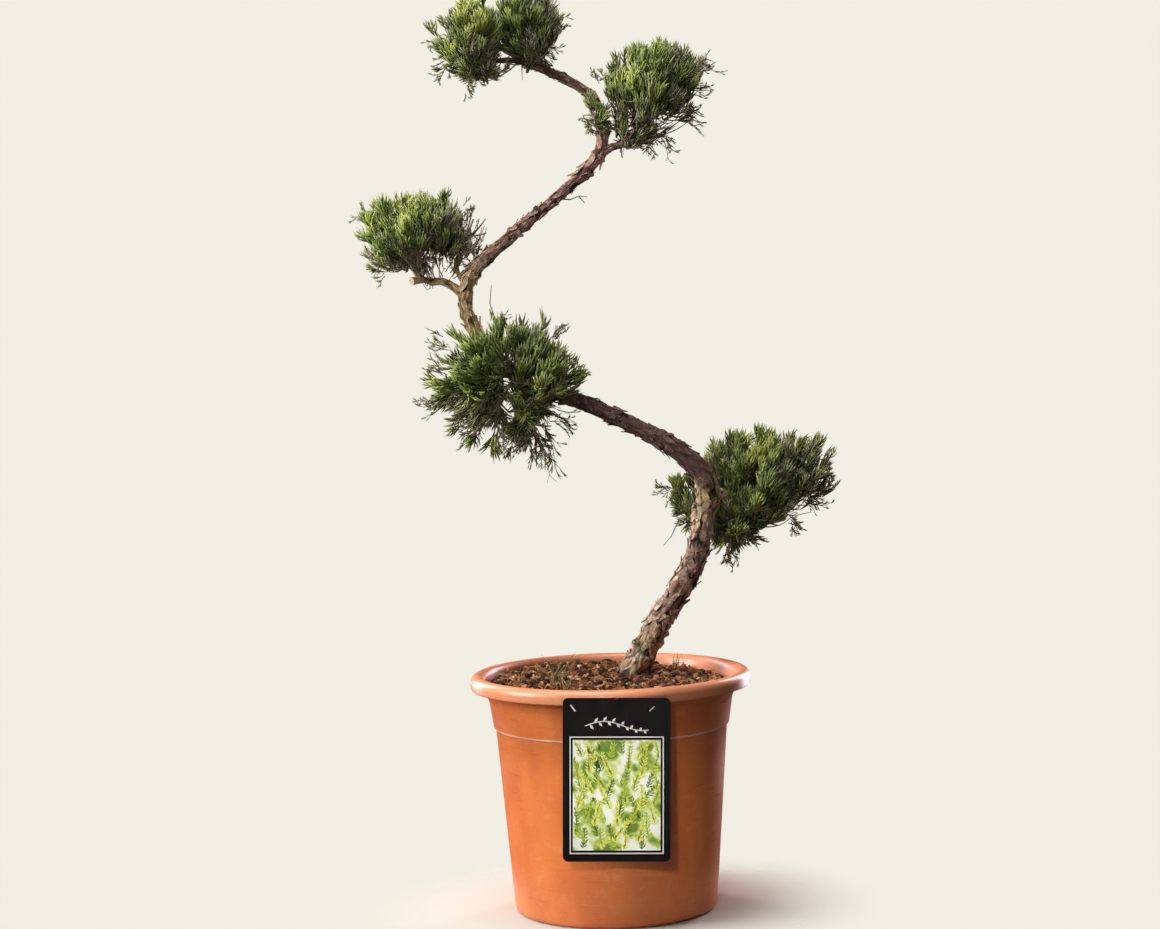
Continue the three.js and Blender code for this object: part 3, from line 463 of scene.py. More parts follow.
class LimbLine:
    """A centripetal curve through rows of x, y, z and radius, where u runs from 0 to 1 over its length."""

    def __init__(self, rows, per_span=80):
        p = np.array([row[:3] for row in rows], float)
        ends = np.vstack([2 * p[0] - p[1], p, 2 * p[-1] - p[-2]])
        knots = np.concatenate([[0], np.cumsum(np.linalg.norm(np.diff(ends, axis=0), axis=1) ** 0.5)])
        steps = []
        for i in range(1, len(ends) - 2):
            k = knots[i - 1 : i + 3]
            t = np.linspace(k[1], k[2], per_span, endpoint=False)[:, None]
            a, b, c = (between(t, k[j], k[j + 1], ends[i - 1 + j], ends[i + j]) for j in range(3))
            first, last = between(t, k[0], k[2], a, b), between(t, k[1], k[3], b, c)
            steps.append(between(t, k[1], k[2], first, last))
        self.steps = np.vstack(steps + [p[-1:]])
        run = np.concatenate([[0], np.cumsum(np.linalg.norm(np.diff(self.steps, axis=0), axis=1))])
        self.length = run[-1]
        self.u = run / run[-1]
        self.stops = self.u[::per_span]
        self.radii = np.array([row[3] for row in rows], float)

    def at(self, u):
        """Points on the line."""
        return np.stack([np.interp(u, self.u, self.steps[:, k]) for k in range(3)], -1)

    def along(self, u):
        """The line's directions."""
        step = 0.5 / self.length
        return unit(self.at(np.clip(u + step, 0, 1)) - self.at(np.clip(u - step, 0, 1)))

    def radius(self, u):
        """The wood's radii."""
        index = np.clip(np.searchsorted(self.stops, u) - 1, 0, len(self.stops) - 2)
        blend = smoothstep((u - self.stops[index]) / (self.stops[index + 1] - self.stops[index]))
        return self.radii[index] * (1 - blend) + self.radii[index + 1] * blend

    def nearest(self, point):
        """Where the line comes nearest to a point."""
        return self.u[np.argmin(np.linalg.norm(self.steps - np.asarray(point), axis=1))]


def across(along):
    """Two directions square to each of some others: the first faces the viewer, the second is to its side."""
    front = unit(TO_VIEWER - (along @ TO_VIEWER)[:, None] * along)
    return front, np.cross(along, front)


def tube_faces(rings, sides, caps=True):
    """Faces of a tube whose points are given ring by ring."""
    faces = []
    for low in range(0, (rings - 1) * sides, sides):
        for side in range(sides):
            turn = (side + 1) % sides
            faces.append((low + side, low + turn, low + sides + turn, low + sides + side))
    if caps:
        faces += [tuple(reversed(range(sides))), tuple(range((rings - 1) * sides, rings * sides))]
    return faces


def turned_over(faces):
    """The same faces, seen from their other side."""
    return [tuple(reversed(face)) for face in faces]


def linked(name, data):
    """An object at the origin, in the scene."""
    made = bpy.data.objects.new(name, data)
    bpy.context.scene.collection.objects.link(made)
    return made


def mesh_object(name, points, faces, material=None, smooth=True, crease=None):
    """An object at the origin with its place in its mesh. Points are millimetres."""
    mesh = bpy.data.meshes.new(name)
    mesh.from_pydata((np.asarray(points, float) * MM).tolist(), [], faces)
    mesh.validate()
    if smooth:
        mesh.shade_smooth()
    if crease is not None:
        mesh.set_sharp_from_angle(angle=math.radians(crease))
    if material:
        mesh.materials.append(material)
    return linked(name, mesh)


def store(mesh, name, values):
    """Stores a number, a vector or a colour for each point of a mesh."""
    values = np.asarray(values, np.float32)
    kinds = {1: ("FLOAT", "value"), 3: ("FLOAT_VECTOR", "vector"), 4: ("FLOAT_COLOR", "color")}
    kind, field = kinds[1 if values.ndim == 1 else values.shape[1]]
    mesh.attributes.new(name, kind, "POINT").data.foreach_set(field, values.ravel())


def source_object(points, attributes, edges=()):
    """Points with attributes, joined by edges where these are given, for a tree to work on."""
    mesh = bpy.data.meshes.new("source")
    mesh.from_pydata((np.asarray(points) * MM).tolist(), edges, [])
    for key, values in attributes.items():
        store(mesh, key, values)
    return linked("source", mesh)


def line_object(lines):
    """Lines of points with a thickness, as edges for the twig tree."""
    counts = [len(path) for path, _ in lines]
    starts = np.cumsum([0] + counts).tolist()
    edges = [(start + k, start + k + 1) for start, n in zip(starts, counts) for k in range(n - 1)]
    thick = np.concatenate([radii for _, radii in lines]) * MM
    return source_object(np.vstack([path for path, _ in lines]), {"thickness": thick}, edges)


# ---- Materials ----


def add(tree, kind, inputs=(), **settings):
    """Adds a node with its settings, sets or links its inputs, named or numbered, and returns its outputs."""
    made = tree.nodes.new(kind)
    for key, value in settings.items():
        setattr(made, key, value)
    for key, value in dict(inputs).items():
        if isinstance(value, bpy.types.NodeSocket):
            tree.links.new(value, made.inputs[key])
        else:
            made.inputs[key].default_value = value
    return made.outputs


def blank_material(name):
    """A material with an empty tree."""
    material = bpy.data.materials.new(name)
    material.use_nodes = True
    material.node_tree.nodes.clear()
    return material, material.node_tree


def finished(material, base, rough, specular=0.3, normal=None, **more):
    """Ends a material's tree in a Principled shader."""
    inputs = {"Base Color": base, "Roughness": rough, "Specular IOR Level": specular, **more}
    if normal:
        inputs["Normal"] = normal
    shader = add(material.node_tree, "ShaderNodeBsdfPrincipled", inputs)
    add(material.node_tree, "ShaderNodeOutputMaterial", {"Surface": shader[0]})
    return material


def ramp(tree, value, *stops):
    """Colours or greys along a value: stops are pairs of place and colour code or number."""
    made = tree.nodes.new("ShaderNodeValToRGB")
    tree.links.new(value, made.inputs[0])
    elements = made.color_ramp.elements
    while len(elements) < len(stops):
        elements.new(0.5)
    for element, (place, colour) in zip(elements, stops):
        element.position = place
        element.color = linear(colour) if isinstance(colour, str) else (colour, colour, colour, 1)
    return made.outputs[0]


def span(tree, value, low, high, start=0.0, end=1.0, kind="LINEAR"):
    """A value carried over from one span to another."""
    inputs = {"Value": value, "From Min": low, "From Max": high, "To Min": start, "To Max": end}
    return add(tree, "ShaderNodeMapRange", inputs, interpolation_type=kind)[0]


def blend(tree, share, first, second, kind="MIX"):
    """Mixes two colours by a share."""
    settings = {"data_type": "RGBA", "blend_type": kind, "clamp_factor": True}
    return add(tree, "ShaderNodeMix", {0: share, 6: first, 7: second}, **settings)[2]


def times(tree, first, second):
    """The product of two values."""
    return add(tree, "ShaderNodeMath", {0: first, 1: second}, operation="MULTIPLY")[0]


def pattern(tree, size, stretch=(1, 1, 1), detail=3, rough=0.6, source="Object"):
    """Noise whose grain is so many millimetres wide, stretched along some axes. A piece's own UV is in mm."""
    grain = size * MM if source == "Object" else size
    place = add(tree, "ShaderNodeTexCoord")[source]
    placed = add(tree, "ShaderNodeMapping", {"Vector": place, "Scale": [1 / (grain * s) for s in stretch]})
    inputs = {"Vector": placed[0], "Scale": 1.0, "Detail": detail, "Roughness": rough}
    return add(tree, "ShaderNodeTexNoise", inputs)[0]


def bump(tree, height, distance, strength=1.0, under=None):
    """A bump of so many millimetres."""
    inputs = {"Height": height, "Distance": distance * MM, "Strength": strength}
    if under:
        inputs["Normal"] = under
    return add(tree, "ShaderNodeBump", inputs)[0]


def bark_material(settings):
    """Scaly juniper bark: light flat scales, cracks between them darkened almost to black by painted shade over
    the inner bark's darker colour, and fine fibres along the limb.
    """
    material, tree = blank_material("juniper_bark")
    tint = add(tree, "ShaderNodeAttribute", attribute_name="tint")
    height = add(tree, "ShaderNodeAttribute", attribute_name="relief")["Fac"]
    fibres = pattern(tree, 1.3, (1, 11, 1), 4, 0.65, "UV")
    grain = pattern(tree, 1.6, detail=2, rough=0.5)
    cracked = span(tree, tint["Alpha"], 0.1, 0.5, 0.42, 1.0)
    # The cracks are multiplied almost to black: painted shade in the cracks, over the inner bark's own darker
    # colour.
    shade = ramp(tree, height, (0.22, 0.03), (0.42, 0.5), (0.72, 1.25))
    base = blend(tree, cracked, tint["Color"], shade, "MULTIPLY")
    pale = ramp(tree, pattern(tree, 11, detail=5), (0.5, 0.0), (0.6, 1.0))
    raised = ramp(tree, height, (0.4, 0.0), (0.62, 1.0))
    base = blend(tree, times(tree, times(tree, pale, raised), tint["Alpha"]), base, settings.bark_pale)
    base = blend(tree, 0.8, base, ramp(tree, fibres, (0.3, 0.42), (0.62, 1.0)), "MULTIPLY")
    base = blend(tree, 0.6, base, ramp(tree, grain, (0.35, 0.68), (0.6, 1.1)), "MULTIPLY")
    return finished(material, base, 0.88, normal=bump(tree, grain, 0.35, 0.6, bump(tree, fibres, 1.1)))


def cut_material(settings):
    """Sawn juniper wood, pale and dry, a little darker in its pores."""
    material, tree = blank_material("sawn_juniper_wood")
    pores = pattern(tree, 1.6)
    base = blend(tree, ramp(tree, pores, (0.35, 0.0), (0.65, 1.0)), settings.cut_pores, settings.cut_wood)
    return finished(material, base, 0.85, normal=bump(tree, pores, 0.3, 0.8))


def flake_material(settings):
    """Loose flakes of old bark that curl off the limb: thin, dry and pale in patches."""
    material, tree = blank_material("loose_juniper_bark")
    tint = add(tree, "ShaderNodeAttribute", attribute_name="tint")
    pale = ramp(tree, pattern(tree, 5, detail=4), (0.44, 0.0), (0.6, 0.8))
    base = blend(tree, times(tree, pale, tint["Alpha"]), tint["Color"], settings.bark_pale)
    base = blend(tree, 0.8, base, ramp(tree, pattern(tree, 1.5), (0.34, 0.45), (0.6, 1.0)), "MULTIPLY")
    return finished(material, base, 0.9, normal=bump(tree, pattern(tree, 1.2, detail=2), 0.3, 0.7))


def spray_material(name, colour):
    """Living scale leaves, waxy and a little uneven in colour from spray to spray."""
    material, tree = blank_material("juniper_leaf_" + name)
    share = ramp(tree, pattern(tree, 11, detail=2), (0.35, 0.0), (0.65, 1.0))
    return finished(material, blend(tree, share, darker(colour, 0.6), colour), 0.55)


def twig_material(settings):
    """Thin bark of twigs: grey-brown, with paler young wood."""
    material, tree = blank_material("juniper_twig_bark")
    share = ramp(tree, pattern(tree, 8), (0.4, 0.0), (0.62, 1.0))
    return finished(material, blend(tree, share, settings.twig_dark, settings.twig_light), 0.8)


def pot_material(settings):
    """Moulded polypropylene in terracotta colour: satin, faintly mottled, with scuffs and dust, a painted pale
    highlight along the step and a painted sheen that pales the rim.
    """
    material, tree = blank_material("moulded_polypropylene_terracotta")
    cloud = pattern(tree, 45, (1, 1, 1.6))
    scuffs = pattern(tree, 3.2, (14, 14, 0.5), 4, 0.7)
    dust = pattern(tree, 16, (1, 1, 0.7), 5, 0.7)
    specks = ramp(tree, pattern(tree, 1.8, detail=2), (0.6, 0.0), (0.72, 0.35))
    base = blend(tree, ramp(tree, cloud, (0.38, 0.0), (0.64, 1.0)), settings.pot_deep, settings.pot_colour)
    base = blend(tree, specks, base, settings.pot_speck)
    base = blend(tree, ramp(tree, scuffs, (0.62, 0.0), (0.75, 0.22)), base, settings.pot_dust)
    base = blend(tree, ramp(tree, dust, (0.56, 0.0), (0.74, 0.2)), base, settings.pot_dust)
    place = add(tree, "ShaderNodeTexCoord")["Object"]
    height = add(tree, "ShaderNodeSeparateXYZ", {0: place})["Z"]
    # The pale line along the step is a painted highlight, a little patchy where the clouds are.
    highlit = span(tree, height, STEP_HIGHLIGHT.start * MM, STEP_HIGHLIGHT.full * MM, kind="SMOOTHSTEP")
    ended = span(tree, height, STEP_HIGHLIGHT.fading * MM, STEP_HIGHLIGHT.end * MM, 1.0, 0.0, "SMOOTHSTEP")
    lightened = times(tree, times(tree, highlit, ended), ramp(tree, cloud, (0.3, 0.25), (0.6, 0.85)))
    base = blend(tree, lightened, base, settings.pot_rubbed)
    # The rim pales towards the dust colour with height: a painted sheen.
    sheen = span(tree, height, RIM_SHEEN.start * MM, RIM_SHEEN.full * MM, 0.0, RIM_SHEEN.share, "SMOOTHSTEP")
    base = blend(tree, sheen, base, settings.pot_dust)
    normal = bump(tree, scuffs, 0.06, 0.6, bump(tree, pattern(tree, 1.4, detail=1), 0.05, 0.5))
    normal = bump(tree, pattern(tree, 5, (50, 50, 0.4), 2), 0.14, 0.7, normal)
    return finished(material, base, span(tree, scuffs, 0.35, 0.7, 0.27, 0.42), 0.5, normal, IOR=1.49)


def mix_material(name, light, dark, size=4):
    """Dry organic crumbs: chips, coir or straw, rough and matt."""
    material, tree = blank_material(name)
    base = blend(tree, ramp(tree, pattern(tree, size, detail=4), (0.36, 0.0), (0.64, 1.0)), dark, light)
    return finished(material, base, 0.92, 0.25, bump(tree, pattern(tree, 1.0), 0.4, 0.8))


def card_material(name, colour, rough=0.32):
    """Printed and laminated card, or moulded peg plastic: one ink, slightly scuffed."""
    material, tree = blank_material(name)
    scuffs = pattern(tree, 5, (1, 1, 4), 4, 0.7)
    lightened = tuple(min(1, c + 0.1) for c in colour[:3]) + (1,)
    base = blend(tree, ramp(tree, scuffs, (0.6, 0.0), (0.8, 0.12)), colour, lightened)
    return finished(material, base, span(tree, scuffs, 0.35, 0.7, rough, rough + 0.18), 0.2)


def picture_material(settings):
    """The printed picture's ground: soft out-of-focus greens and whites, as a backlit hedge."""
    material, tree = blank_material("printed_picture_ground")
    cloud = pattern(tree, 15, detail=2, rough=0.5)
    base = ramp(tree, cloud, (0.36, "#6F8A34"), (0.45, "#C4D470"), (0.54, "#F3F6D8"), (0.7, "#FFFFF8"))
    return finished(material, base, settings.card_gloss, 0.5)


# ---- Geometry Nodes ----


def new_tree(name, **sockets):
    """A geometry tree with named inputs. Returns it with its inputs' sockets."""
    tree = bpy.data.node_groups.new(name, "GeometryNodeTree")
    for way in ("OUTPUT", "INPUT"):
        tree.interface.new_socket("Geometry", in_out=way, socket_type="NodeSocketGeometry")
    for label, kind in sockets.items():
        tree.interface.new_socket(label, in_out="INPUT", socket_type="NodeSocket" + kind)
    return tree, add(tree, "NodeGroupInput")


def end_tree(tree, geometry, material):
    """Ends a tree in Realize Instances and Set Material."""
    real = add(tree, "GeometryNodeRealizeInstances", {"Geometry": geometry})
    painted = add(tree, "GeometryNodeSetMaterial", {"Geometry": real[0], "Material": material})
    add(tree, "NodeGroupOutput", {"Geometry": painted[0]})
    return tree


def named(tree, name, kind):
    """The field of a named attribute."""
    return add(tree, "GeometryNodeInputNamedAttribute", {"Name": name}, data_type=kind)["Attribute"]


def random_value(tree, kind, seed, low, high):
    """A repeatable random vector, number or whole number for each point."""
    first, output = {"FLOAT_VECTOR": (0, 0), "FLOAT": (2, 1), "INT": (4, 2)}[kind]
    inputs = {"Seed": seed, first: low, first + 1: high}
    return add(tree, "FunctionNodeRandomValue", inputs, data_type=kind)[output]


def shapes_on_points(tree, given, points, shapes, variants, turn, size):
    """Sets a shape of a collection, picked at random, on every point, and ends the tree."""
    inputs = {"Collection": shapes, "Separate Children": True, "Reset Children": True}
    kinds = add(tree, "GeometryNodeCollectionInfo", inputs)
    pick = random_value(tree, "INT", given["Seed"], 0, variants - 1)
    inputs = {"Points": points, "Instance": kinds[0], "Pick Instance": True, "Instance Index": pick}
    placed = add(tree, "GeometryNodeInstanceOnPoints", {**inputs, "Rotation": turn, "Scale": size})
    return end_tree(tree, placed[0], given["Material"])


def turned_tree(variants):
    """Sets a shape on every point, its length along "facing" and its second axis towards "bend"."""
    sockets = {"Shapes": "Collection", "Length": "Float", "Sway": "Float"}
    tree, given = new_tree("Shapes on points", **sockets, Seed="Int", Material="Material")
    align = "FunctionNodeAlignRotationToVector"
    facing = add(tree, align, {"Vector": named(tree, "facing", "FLOAT_VECTOR")}, axis="Z")
    bend = {"Rotation": facing[0], "Vector": named(tree, "bend", "FLOAT_VECTOR")}
    bent = add(tree, align, bend, axis="Y", pivot_axis="Z")
    sway = random_value(tree, "FLOAT", given["Seed"], times(tree, given["Sway"], -1.0), given["Sway"])
    turn = add(tree, "FunctionNodeAxisAngleToRotation", {"Axis": (0, 0, 1), "Angle": sway})
    inputs = {"Rotation": bent[0], "Rotate By": turn[0]}
    turned = add(tree, "FunctionNodeRotateRotation", inputs, rotation_space="LOCAL")
    size = times(tree, named(tree, "size", "FLOAT"), given["Length"])
    return shapes_on_points(tree, given, given["Geometry"], given["Shapes"], variants, turned[0], size)


def crumbs_tree(variants):
    """Strews crumbs over a surface, each turned and sized at random."""
    sockets = {"Crumbs": "Collection", "Density": "Float", "Smallest": "Float", "Largest": "Float"}
    tree, given = new_tree("Crumbs on a surface", **sockets, Seed="Int", Material="Material")
    seed = given["Seed"]
    inputs = {"Mesh": given["Geometry"], "Density": given["Density"], "Seed": seed}
    spread = add(tree, "GeometryNodeDistributePointsOnFaces", inputs)
    size = random_value(tree, "FLOAT", seed, given["Smallest"], given["Largest"])
    turn = random_value(tree, "FLOAT_VECTOR", seed, (-0.7, -0.7, 0), (0.7, 0.7, ROUND))
    return shapes_on_points(tree, given, spread[0], given["Crumbs"], variants, turn, size)


def twigs_tree():
    """Turns edges with a thickness into tapering twigs."""
    tree, given = new_tree("Twigs along lines", Sides="Int", Material="Material")
    lines = add(tree, "GeometryNodeMeshToCurve", {"Mesh": given["Geometry"]})
    ring = add(tree, "GeometryNodeCurvePrimitiveCircle", {"Resolution": given["Sides"], "Radius": 1.0})
    inputs = {"Curve": lines[0], "Profile Curve": ring[0], "Scale": named(tree, "thickness", "FLOAT")}
    swept = add(tree, "GeometryNodeCurveToMesh", {**inputs, "Fill Caps": True})
    smooth = add(tree, "GeometryNodeSetShadeSmooth", {"Geometry": swept[0], "Shade Smooth": True})
    return end_tree(tree, smooth[0], given["Material"])


def run_tree(name, source, tree, **values):
    """Runs a tree on a source object, keeps the result as a plain mesh and removes the source."""
    modifier = source.modifiers.new("grow", "NODES")
    modifier.node_group = tree
    for item in tree.interface.items_tree:
        if item.in_out == "INPUT" and item.name in values:
            modifier[item.identifier] = values[item.name]
    bpy.context.view_layer.update()
    depsgraph = bpy.context.evaluated_depsgraph_get()
    mesh = bpy.data.meshes.new_from_object(source.evaluated_get(depsgraph))
    mesh.name = name
    for used in [a.name for a in mesh.attributes if a.name in ("facing", "bend", "size", "thickness")]:
        mesh.attributes.remove(mesh.attributes[used])
    bpy.data.objects.remove(source)
    if not mesh.polygons:
        raise RuntimeError(name + " came out empty")
    return linked(name, mesh)


def kit(name, shapes, smooth=True):
    """A collection of small shapes for a tree to pick from, outside the scene."""
    collection = bpy.data.collections.new(name)
    for i, (points, faces) in enumerate(shapes):
        mesh = bpy.data.meshes.new(f"{name}_{i}")
        mesh.from_pydata([tuple(p) for p in points], [], faces)
        if smooth:
            mesh.shade_smooth()
        collection.objects.link(bpy.data.objects.new(f"{name}_{i:02d}", mesh))
    return collection


def drop_kit(collection):
    """Removes a kit that no tree needs any more."""
    for shape in list(collection.objects):
        bpy.data.objects.remove(shape)
    bpy.data.collections.remove(collection)


# ---- Bark ----


def hashed(point, salt):
    """A repeatable number from 0 to 1 for a point."""
    wave = math.sin(point[0] * 12.9898 + point[1] * 78.233 + point[2] * 37.719 + salt) * 43758.5453
    return wave - math.floor(wave)


def bark_height(turn, along, radius, seed):
    """How far the bark stands out of the wood (mm) and how light it is, from crack to scale (0 to 1)."""
    x, y = math.cos(turn) * radius, math.sin(turn) * radius

    def waves(wide, long, shift):
        """Soft noise on the limb's skin."""
        return noise.noise(Vector((x / wide, y / wide, along / long + seed + shift)))

    lump, warp = waves(*BARK.lump), BARK.wobbling * waves(*BARK.wobble)
    wide, long = BARK.scale
    cell = Vector(((x + warp) / wide, (y - warp) / wide, (along + 2 * warp) / long + seed))
    distances, centres = noise.voronoi(cell)
    crack = min(1.0, (distances[1] - distances[0]) / BARK.crack)
    pick = hashed(centres[0], seed)
    shingle = (cell.z - centres[0].z) * (1.5 if pick > 0.5 else -0.6)
    scale = crack * (0.25 + 0.75 * pick + 0.5 * shingle)
    if pick > BARK.flat:
        scale += 1.9 * (pick - BARK.flat) / (1 - BARK.flat) * crack * max(0.0, 0.5 + shingle)
    strand = 1 - abs(waves(*BARK.strand)) * 2
    height = 1.5 * lump + 1.35 * scale + 0.4 * strand - 0.9
    light = 0.04 + 0.5 * crack * (0.35 + 0.65 * pick) + 0.22 * strand + 0.3 * (0.5 + lump)
    return height, light


def zone_colours(shares):
    """The bark's colour along the trunk in linear values, with the share of pale scales as its alpha."""
    places = [zone[0] for zone in BARK_ZONES]
    colours = np.array([linear(code, pale) for _, code, pale in BARK_ZONES])
    return np.stack([np.interp(shares, places, colours[:, k]) for k in range(4)], -1)


def ring_places(line, spacing):
    """Where a limb's rings are, evenly spaced."""
    return np.linspace(0, 1, max(4, int(line.length / spacing)))


def bark_limb(line, u, sides, seed, depth, swell=None, knots=()):
    """One limb's rings of points with bark, and the relief at each point."""
    middle, along, radius = line.at(u), line.along(u), line.radius(u)
    front, side = across(along)
    depth = depth * np.minimum(1.0, radius / 8)
    points = np.zeros((len(u), sides, 3))
    shade = np.zeros((len(u), sides))
    for i, run in enumerate(u * line.length):
        for j, turn in enumerate(np.arange(sides) / sides * ROUND):
            height, shade[i, j] = bark_height(turn, run, radius[i], seed)
            out = (swell(run, turn, radius[i]) if swell else radius[i]) + height * depth[i]
            points[i, j] = middle[i] + out * (math.cos(turn) * front[i] + math.sin(turn) * side[i])
    for x, z, width, rise in knots:
        away = np.hypot(points[..., 0] - x, points[..., 2] - z)
        facing = points - middle[:, None]
        near = np.exp(-((away / width) ** 2) * 1.6) * (facing[..., 1] < 6)
        points += unit(facing) * (near * rise)[..., None]
        shade += 0.25 * near * (np.sin(away * 2.6) - 0.4)
    return points, np.clip(shade, 0, 1)


def bark_piece(name, limbs, material):
    """Joins limbs of bark into one piece with its relief, tint and mapping. Its UV is millimetres."""
    points, faces, relief, tint, maps = [], [], [], [], []
    for rings, shade, run, girth, colours in limbs:
        count, sides = shade.shape
        base = sum(map(len, points))
        points.append(rings.reshape(-1, 3))
        relief.append(shade.ravel())
        tint.append(np.repeat(colours, sides, axis=0))
        turned = np.arange(sides) / sides * ROUND * girth
        maps.append(np.stack(np.broadcast_arrays(turned[None], run[:, None]), -1).reshape(-1, 2))
        faces += [tuple(base + v for v in face) for face in tube_faces(count, sides)]
    piece = mesh_object(name, np.vstack(points), faces, material)
    mesh = piece.data
    store(mesh, "relief", np.concatenate(relief))
    store(mesh, "tint", np.vstack(tint))
    corners = np.zeros(len(mesh.loops), np.int32)
    mesh.loops.foreach_get("vertex_index", corners)
    mesh.uv_layers.new(name="bark").data.foreach_set("uv", np.vstack(maps)[corners].ravel())
    return piece


def flared_line():
    """The trunk's line, carried on into the mix."""
    trunk, start = LimbLine(TRUNK), np.array([0.0])
    foot = trunk.at(start)[0] - trunk.along(start)[0] * ROOT_FLARE.below
    return LimbLine([(*foot, TRUNK[0][3])] + TRUNK)


def root_flare(run, turn, radius):
    """The trunk's radius at a place, with the flare and the lobes of its roots."""
    near = math.exp(-max(0.0, run - ROOT_FLARE.below) / ROOT_FLARE.rise)
    lobed = 1 + ROOT_FLARE.lobe_depth * near * math.cos(ROOT_FLARE.lobes * turn)
    return (radius + ROOT_FLARE.out * near) * lobed


def bough_line(mass, trunk):
    """A mass's bough, tapering from the trunk's own line to its hub."""
    points = [trunk.at(trunk.nearest(mass.line[0]))] + mass.line[1:]
    last = len(points) - 1
    return LimbLine([(*point, mass.radius * (1 - BOUGH_TAPER * i / last)) for i, point in enumerate(points)])


def trunk_bark(settings, line, material):
    """The trunk's bark, rougher where it has more pale scales."""
    u = ring_places(line, settings.spacing / MM)
    tint = zone_colours(u)
    depth = settings.depth * (0.18 + 0.92 * tint[:, 3])
    limb = bark_limb(line, u, settings.sides, 0.0, depth, root_flare, KNOTS)
    piece = bark_piece("trunk_bark", [(*limb, u * line.length, BARK_MAP.trunk, tint)], material)
    place(piece, TRUNK_NODES, "bark")


def bough_bark(settings, material):
    """The boughs' bark, each in the trunk's colour where it leaves the trunk."""
    trunk, limbs = LimbLine(TRUNK), []
    bare = [mass for mass in MASSES if mass.bare]
    for mass in bare:
        line = bough_line(mass, trunk)
        u = ring_places(line, BOUGH_SPACING)
        tint = zone_colours(np.full(len(u), trunk.nearest(mass.line[0])))
        limb = bark_limb(line, u, BOUGH_SIDES, mass.seed, settings.depth)
        limbs.append((*limb, u * line.length, BARK_MAP.bough, tint))
    place(bark_piece("bough_bark", limbs, material), ["bough_" + mass.name for mass in bare], "bark")


def cut_stub(settings, sides=12):
    """The sawn stub of a bough."""
    middles = np.array([row[:3] for row in STUB])
    front, side = (part[0] for part in across(unit(middles[-1] - middles[0])[None]))
    turn = np.arange(sides)[:, None] / sides * ROUND
    rings = [m + row[3] * (np.cos(turn) * front + np.sin(turn) * side) for m, row in zip(middles, STUB)]
    faces = tube_faces(len(STUB), sides)
    place(mesh_object("cut_stub", np.vstack(rings), faces, cut_material(settings), smooth=False), [], "bark")


def flake_shapes(variants):
    """Thin flakes one unit long that curl away from the limb at one end."""
    shapes = []
    for variant in range(variants):
        rng = np.random.default_rng(SEEDS.flake + variant)
        curl = rng.uniform(0.05, 0.24)
        points = []
        for y, wide, high in ((-0.5, 0.1, -0.05), (-0.2, 0.19, 0.0), (0.15, 0.2, 0.3), (0.5, 0.1, 1.0)):
            left, right = -wide * rng.uniform(0.7, 1.2), wide * rng.uniform(0.7, 1.2)
            top = curl * high
            below = top - FLAKE_THICKNESS
            points += [(left, y, top), (left, y, below), (right, y, below), (right, y, top)]
        shapes.append((points, turned_over(tube_faces(4, 4))))
    return shapes


def flake_points(line, count):
    """Where flakes sit on a limb, thickest where the bark has pale scales, and how they lie."""
    rng = np.random.default_rng(SEEDS.flakes)
    u = rng.uniform(0.02, 0.995, count * 3)
    u = u[rng.random(len(u)) < 0.25 + 0.75 * zone_colours(u)[:, 3]][:count]
    middle, along = line.at(u), line.along(u)
    front, side = across(along)
    turn = rng.uniform(0, ROUND, len(u))[:, None]
    facing = np.cos(turn) * front + np.sin(turn) * side
    tint = zone_colours(u) * np.array([1, 1, 1, 1.2])
    tint[:, :3] *= rng.uniform(0.55, 1.25, (len(u), 1))
    skew = rng.normal(0, 0.28, (len(u), 1))
    where = middle + facing * (line.radius(u) + rng.uniform(-0.2, 0.9, len(u)))[:, None]
    bend = unit(along * rng.choice((-1, 1), (len(u), 1)) + skew * np.cross(along, facing))
    size = rng.uniform(0.45, 1.1, len(u)) * np.minimum(1, line.radius(u) / 9 + 0.2)
    return where, {"facing": facing, "bend": bend, "size": size, "tint": tint}


def loose_flakes(settings, line, variants=6):
    """Flakes of bark that have come loose along the trunk."""
    shapes = kit("flakes", flake_shapes(variants), smooth=False)
    values = {"Shapes": shapes, "Length": settings.flake_length, "Sway": settings.flake_sway, "Seed": 2}
    source = source_object(*flake_points(line, settings.flakes))
    flakes = run_tree("bark_flakes", source, turned_tree(variants), **values, Material=flake_material(settings))
    place(flakes, [], "bark")
    drop_kit(shapes)


# ---- Growth ----


def shell_points(middle, size, places, count, shares):
    """Points in a lobe, spread evenly over its directions, at shares of its radius."""
    height = 1 - 2 * places / count
    level = np.sqrt(np.maximum(0, 1 - height * height))
    turn = places * GOLDEN_ANGLE
    spread = np.stack([level * np.cos(turn), level * np.sin(turn), height], -1)
    return np.array(middle) + np.array(size) * spread * np.reshape(shares, (-1, 1))


def uneven_places(seed, count):
    """The numbers of a lobe's points, and their slightly uneven places in it."""
    index = np.arange(count)
    return index, index + 0.4 + 0.3 * chance(seed + 1, index)


def reach(points, lobes):
    """How far out points are in the nearest of some lobes, where 1 is on the surface."""
    shares = [np.linalg.norm((points - np.array(lobe[0])) / np.array(lobe[1]), axis=-1) for lobe in lobes]
    return np.min(shares, axis=0)


def shaped(points, middle, size, outline):
    """Moves points in a lobe out or in, so that it has its outline as seen from the front."""
    away = points - np.array(middle)
    turn = np.arctan2(away[:, 2], away[:, 0]) / ROUND * OUTLINE_STEPS % OUTLINE_STEPS
    low = np.floor(turn).astype(int) % OUTLINE_STEPS
    share = np.array(outline) / 100
    factor = share[low] + (share[(low + 1) % OUTLINE_STEPS] - share[low]) * smoothstep(turn - np.floor(turn))
    level = smoothstep(np.hypot(away[:, 0] / size[0], away[:, 2] / size[2]), 0.3, 0.95)
    factor = 1 + (factor - 1) * level
    return np.array(middle) + away * np.stack([factor, np.ones(len(points)), factor], -1)


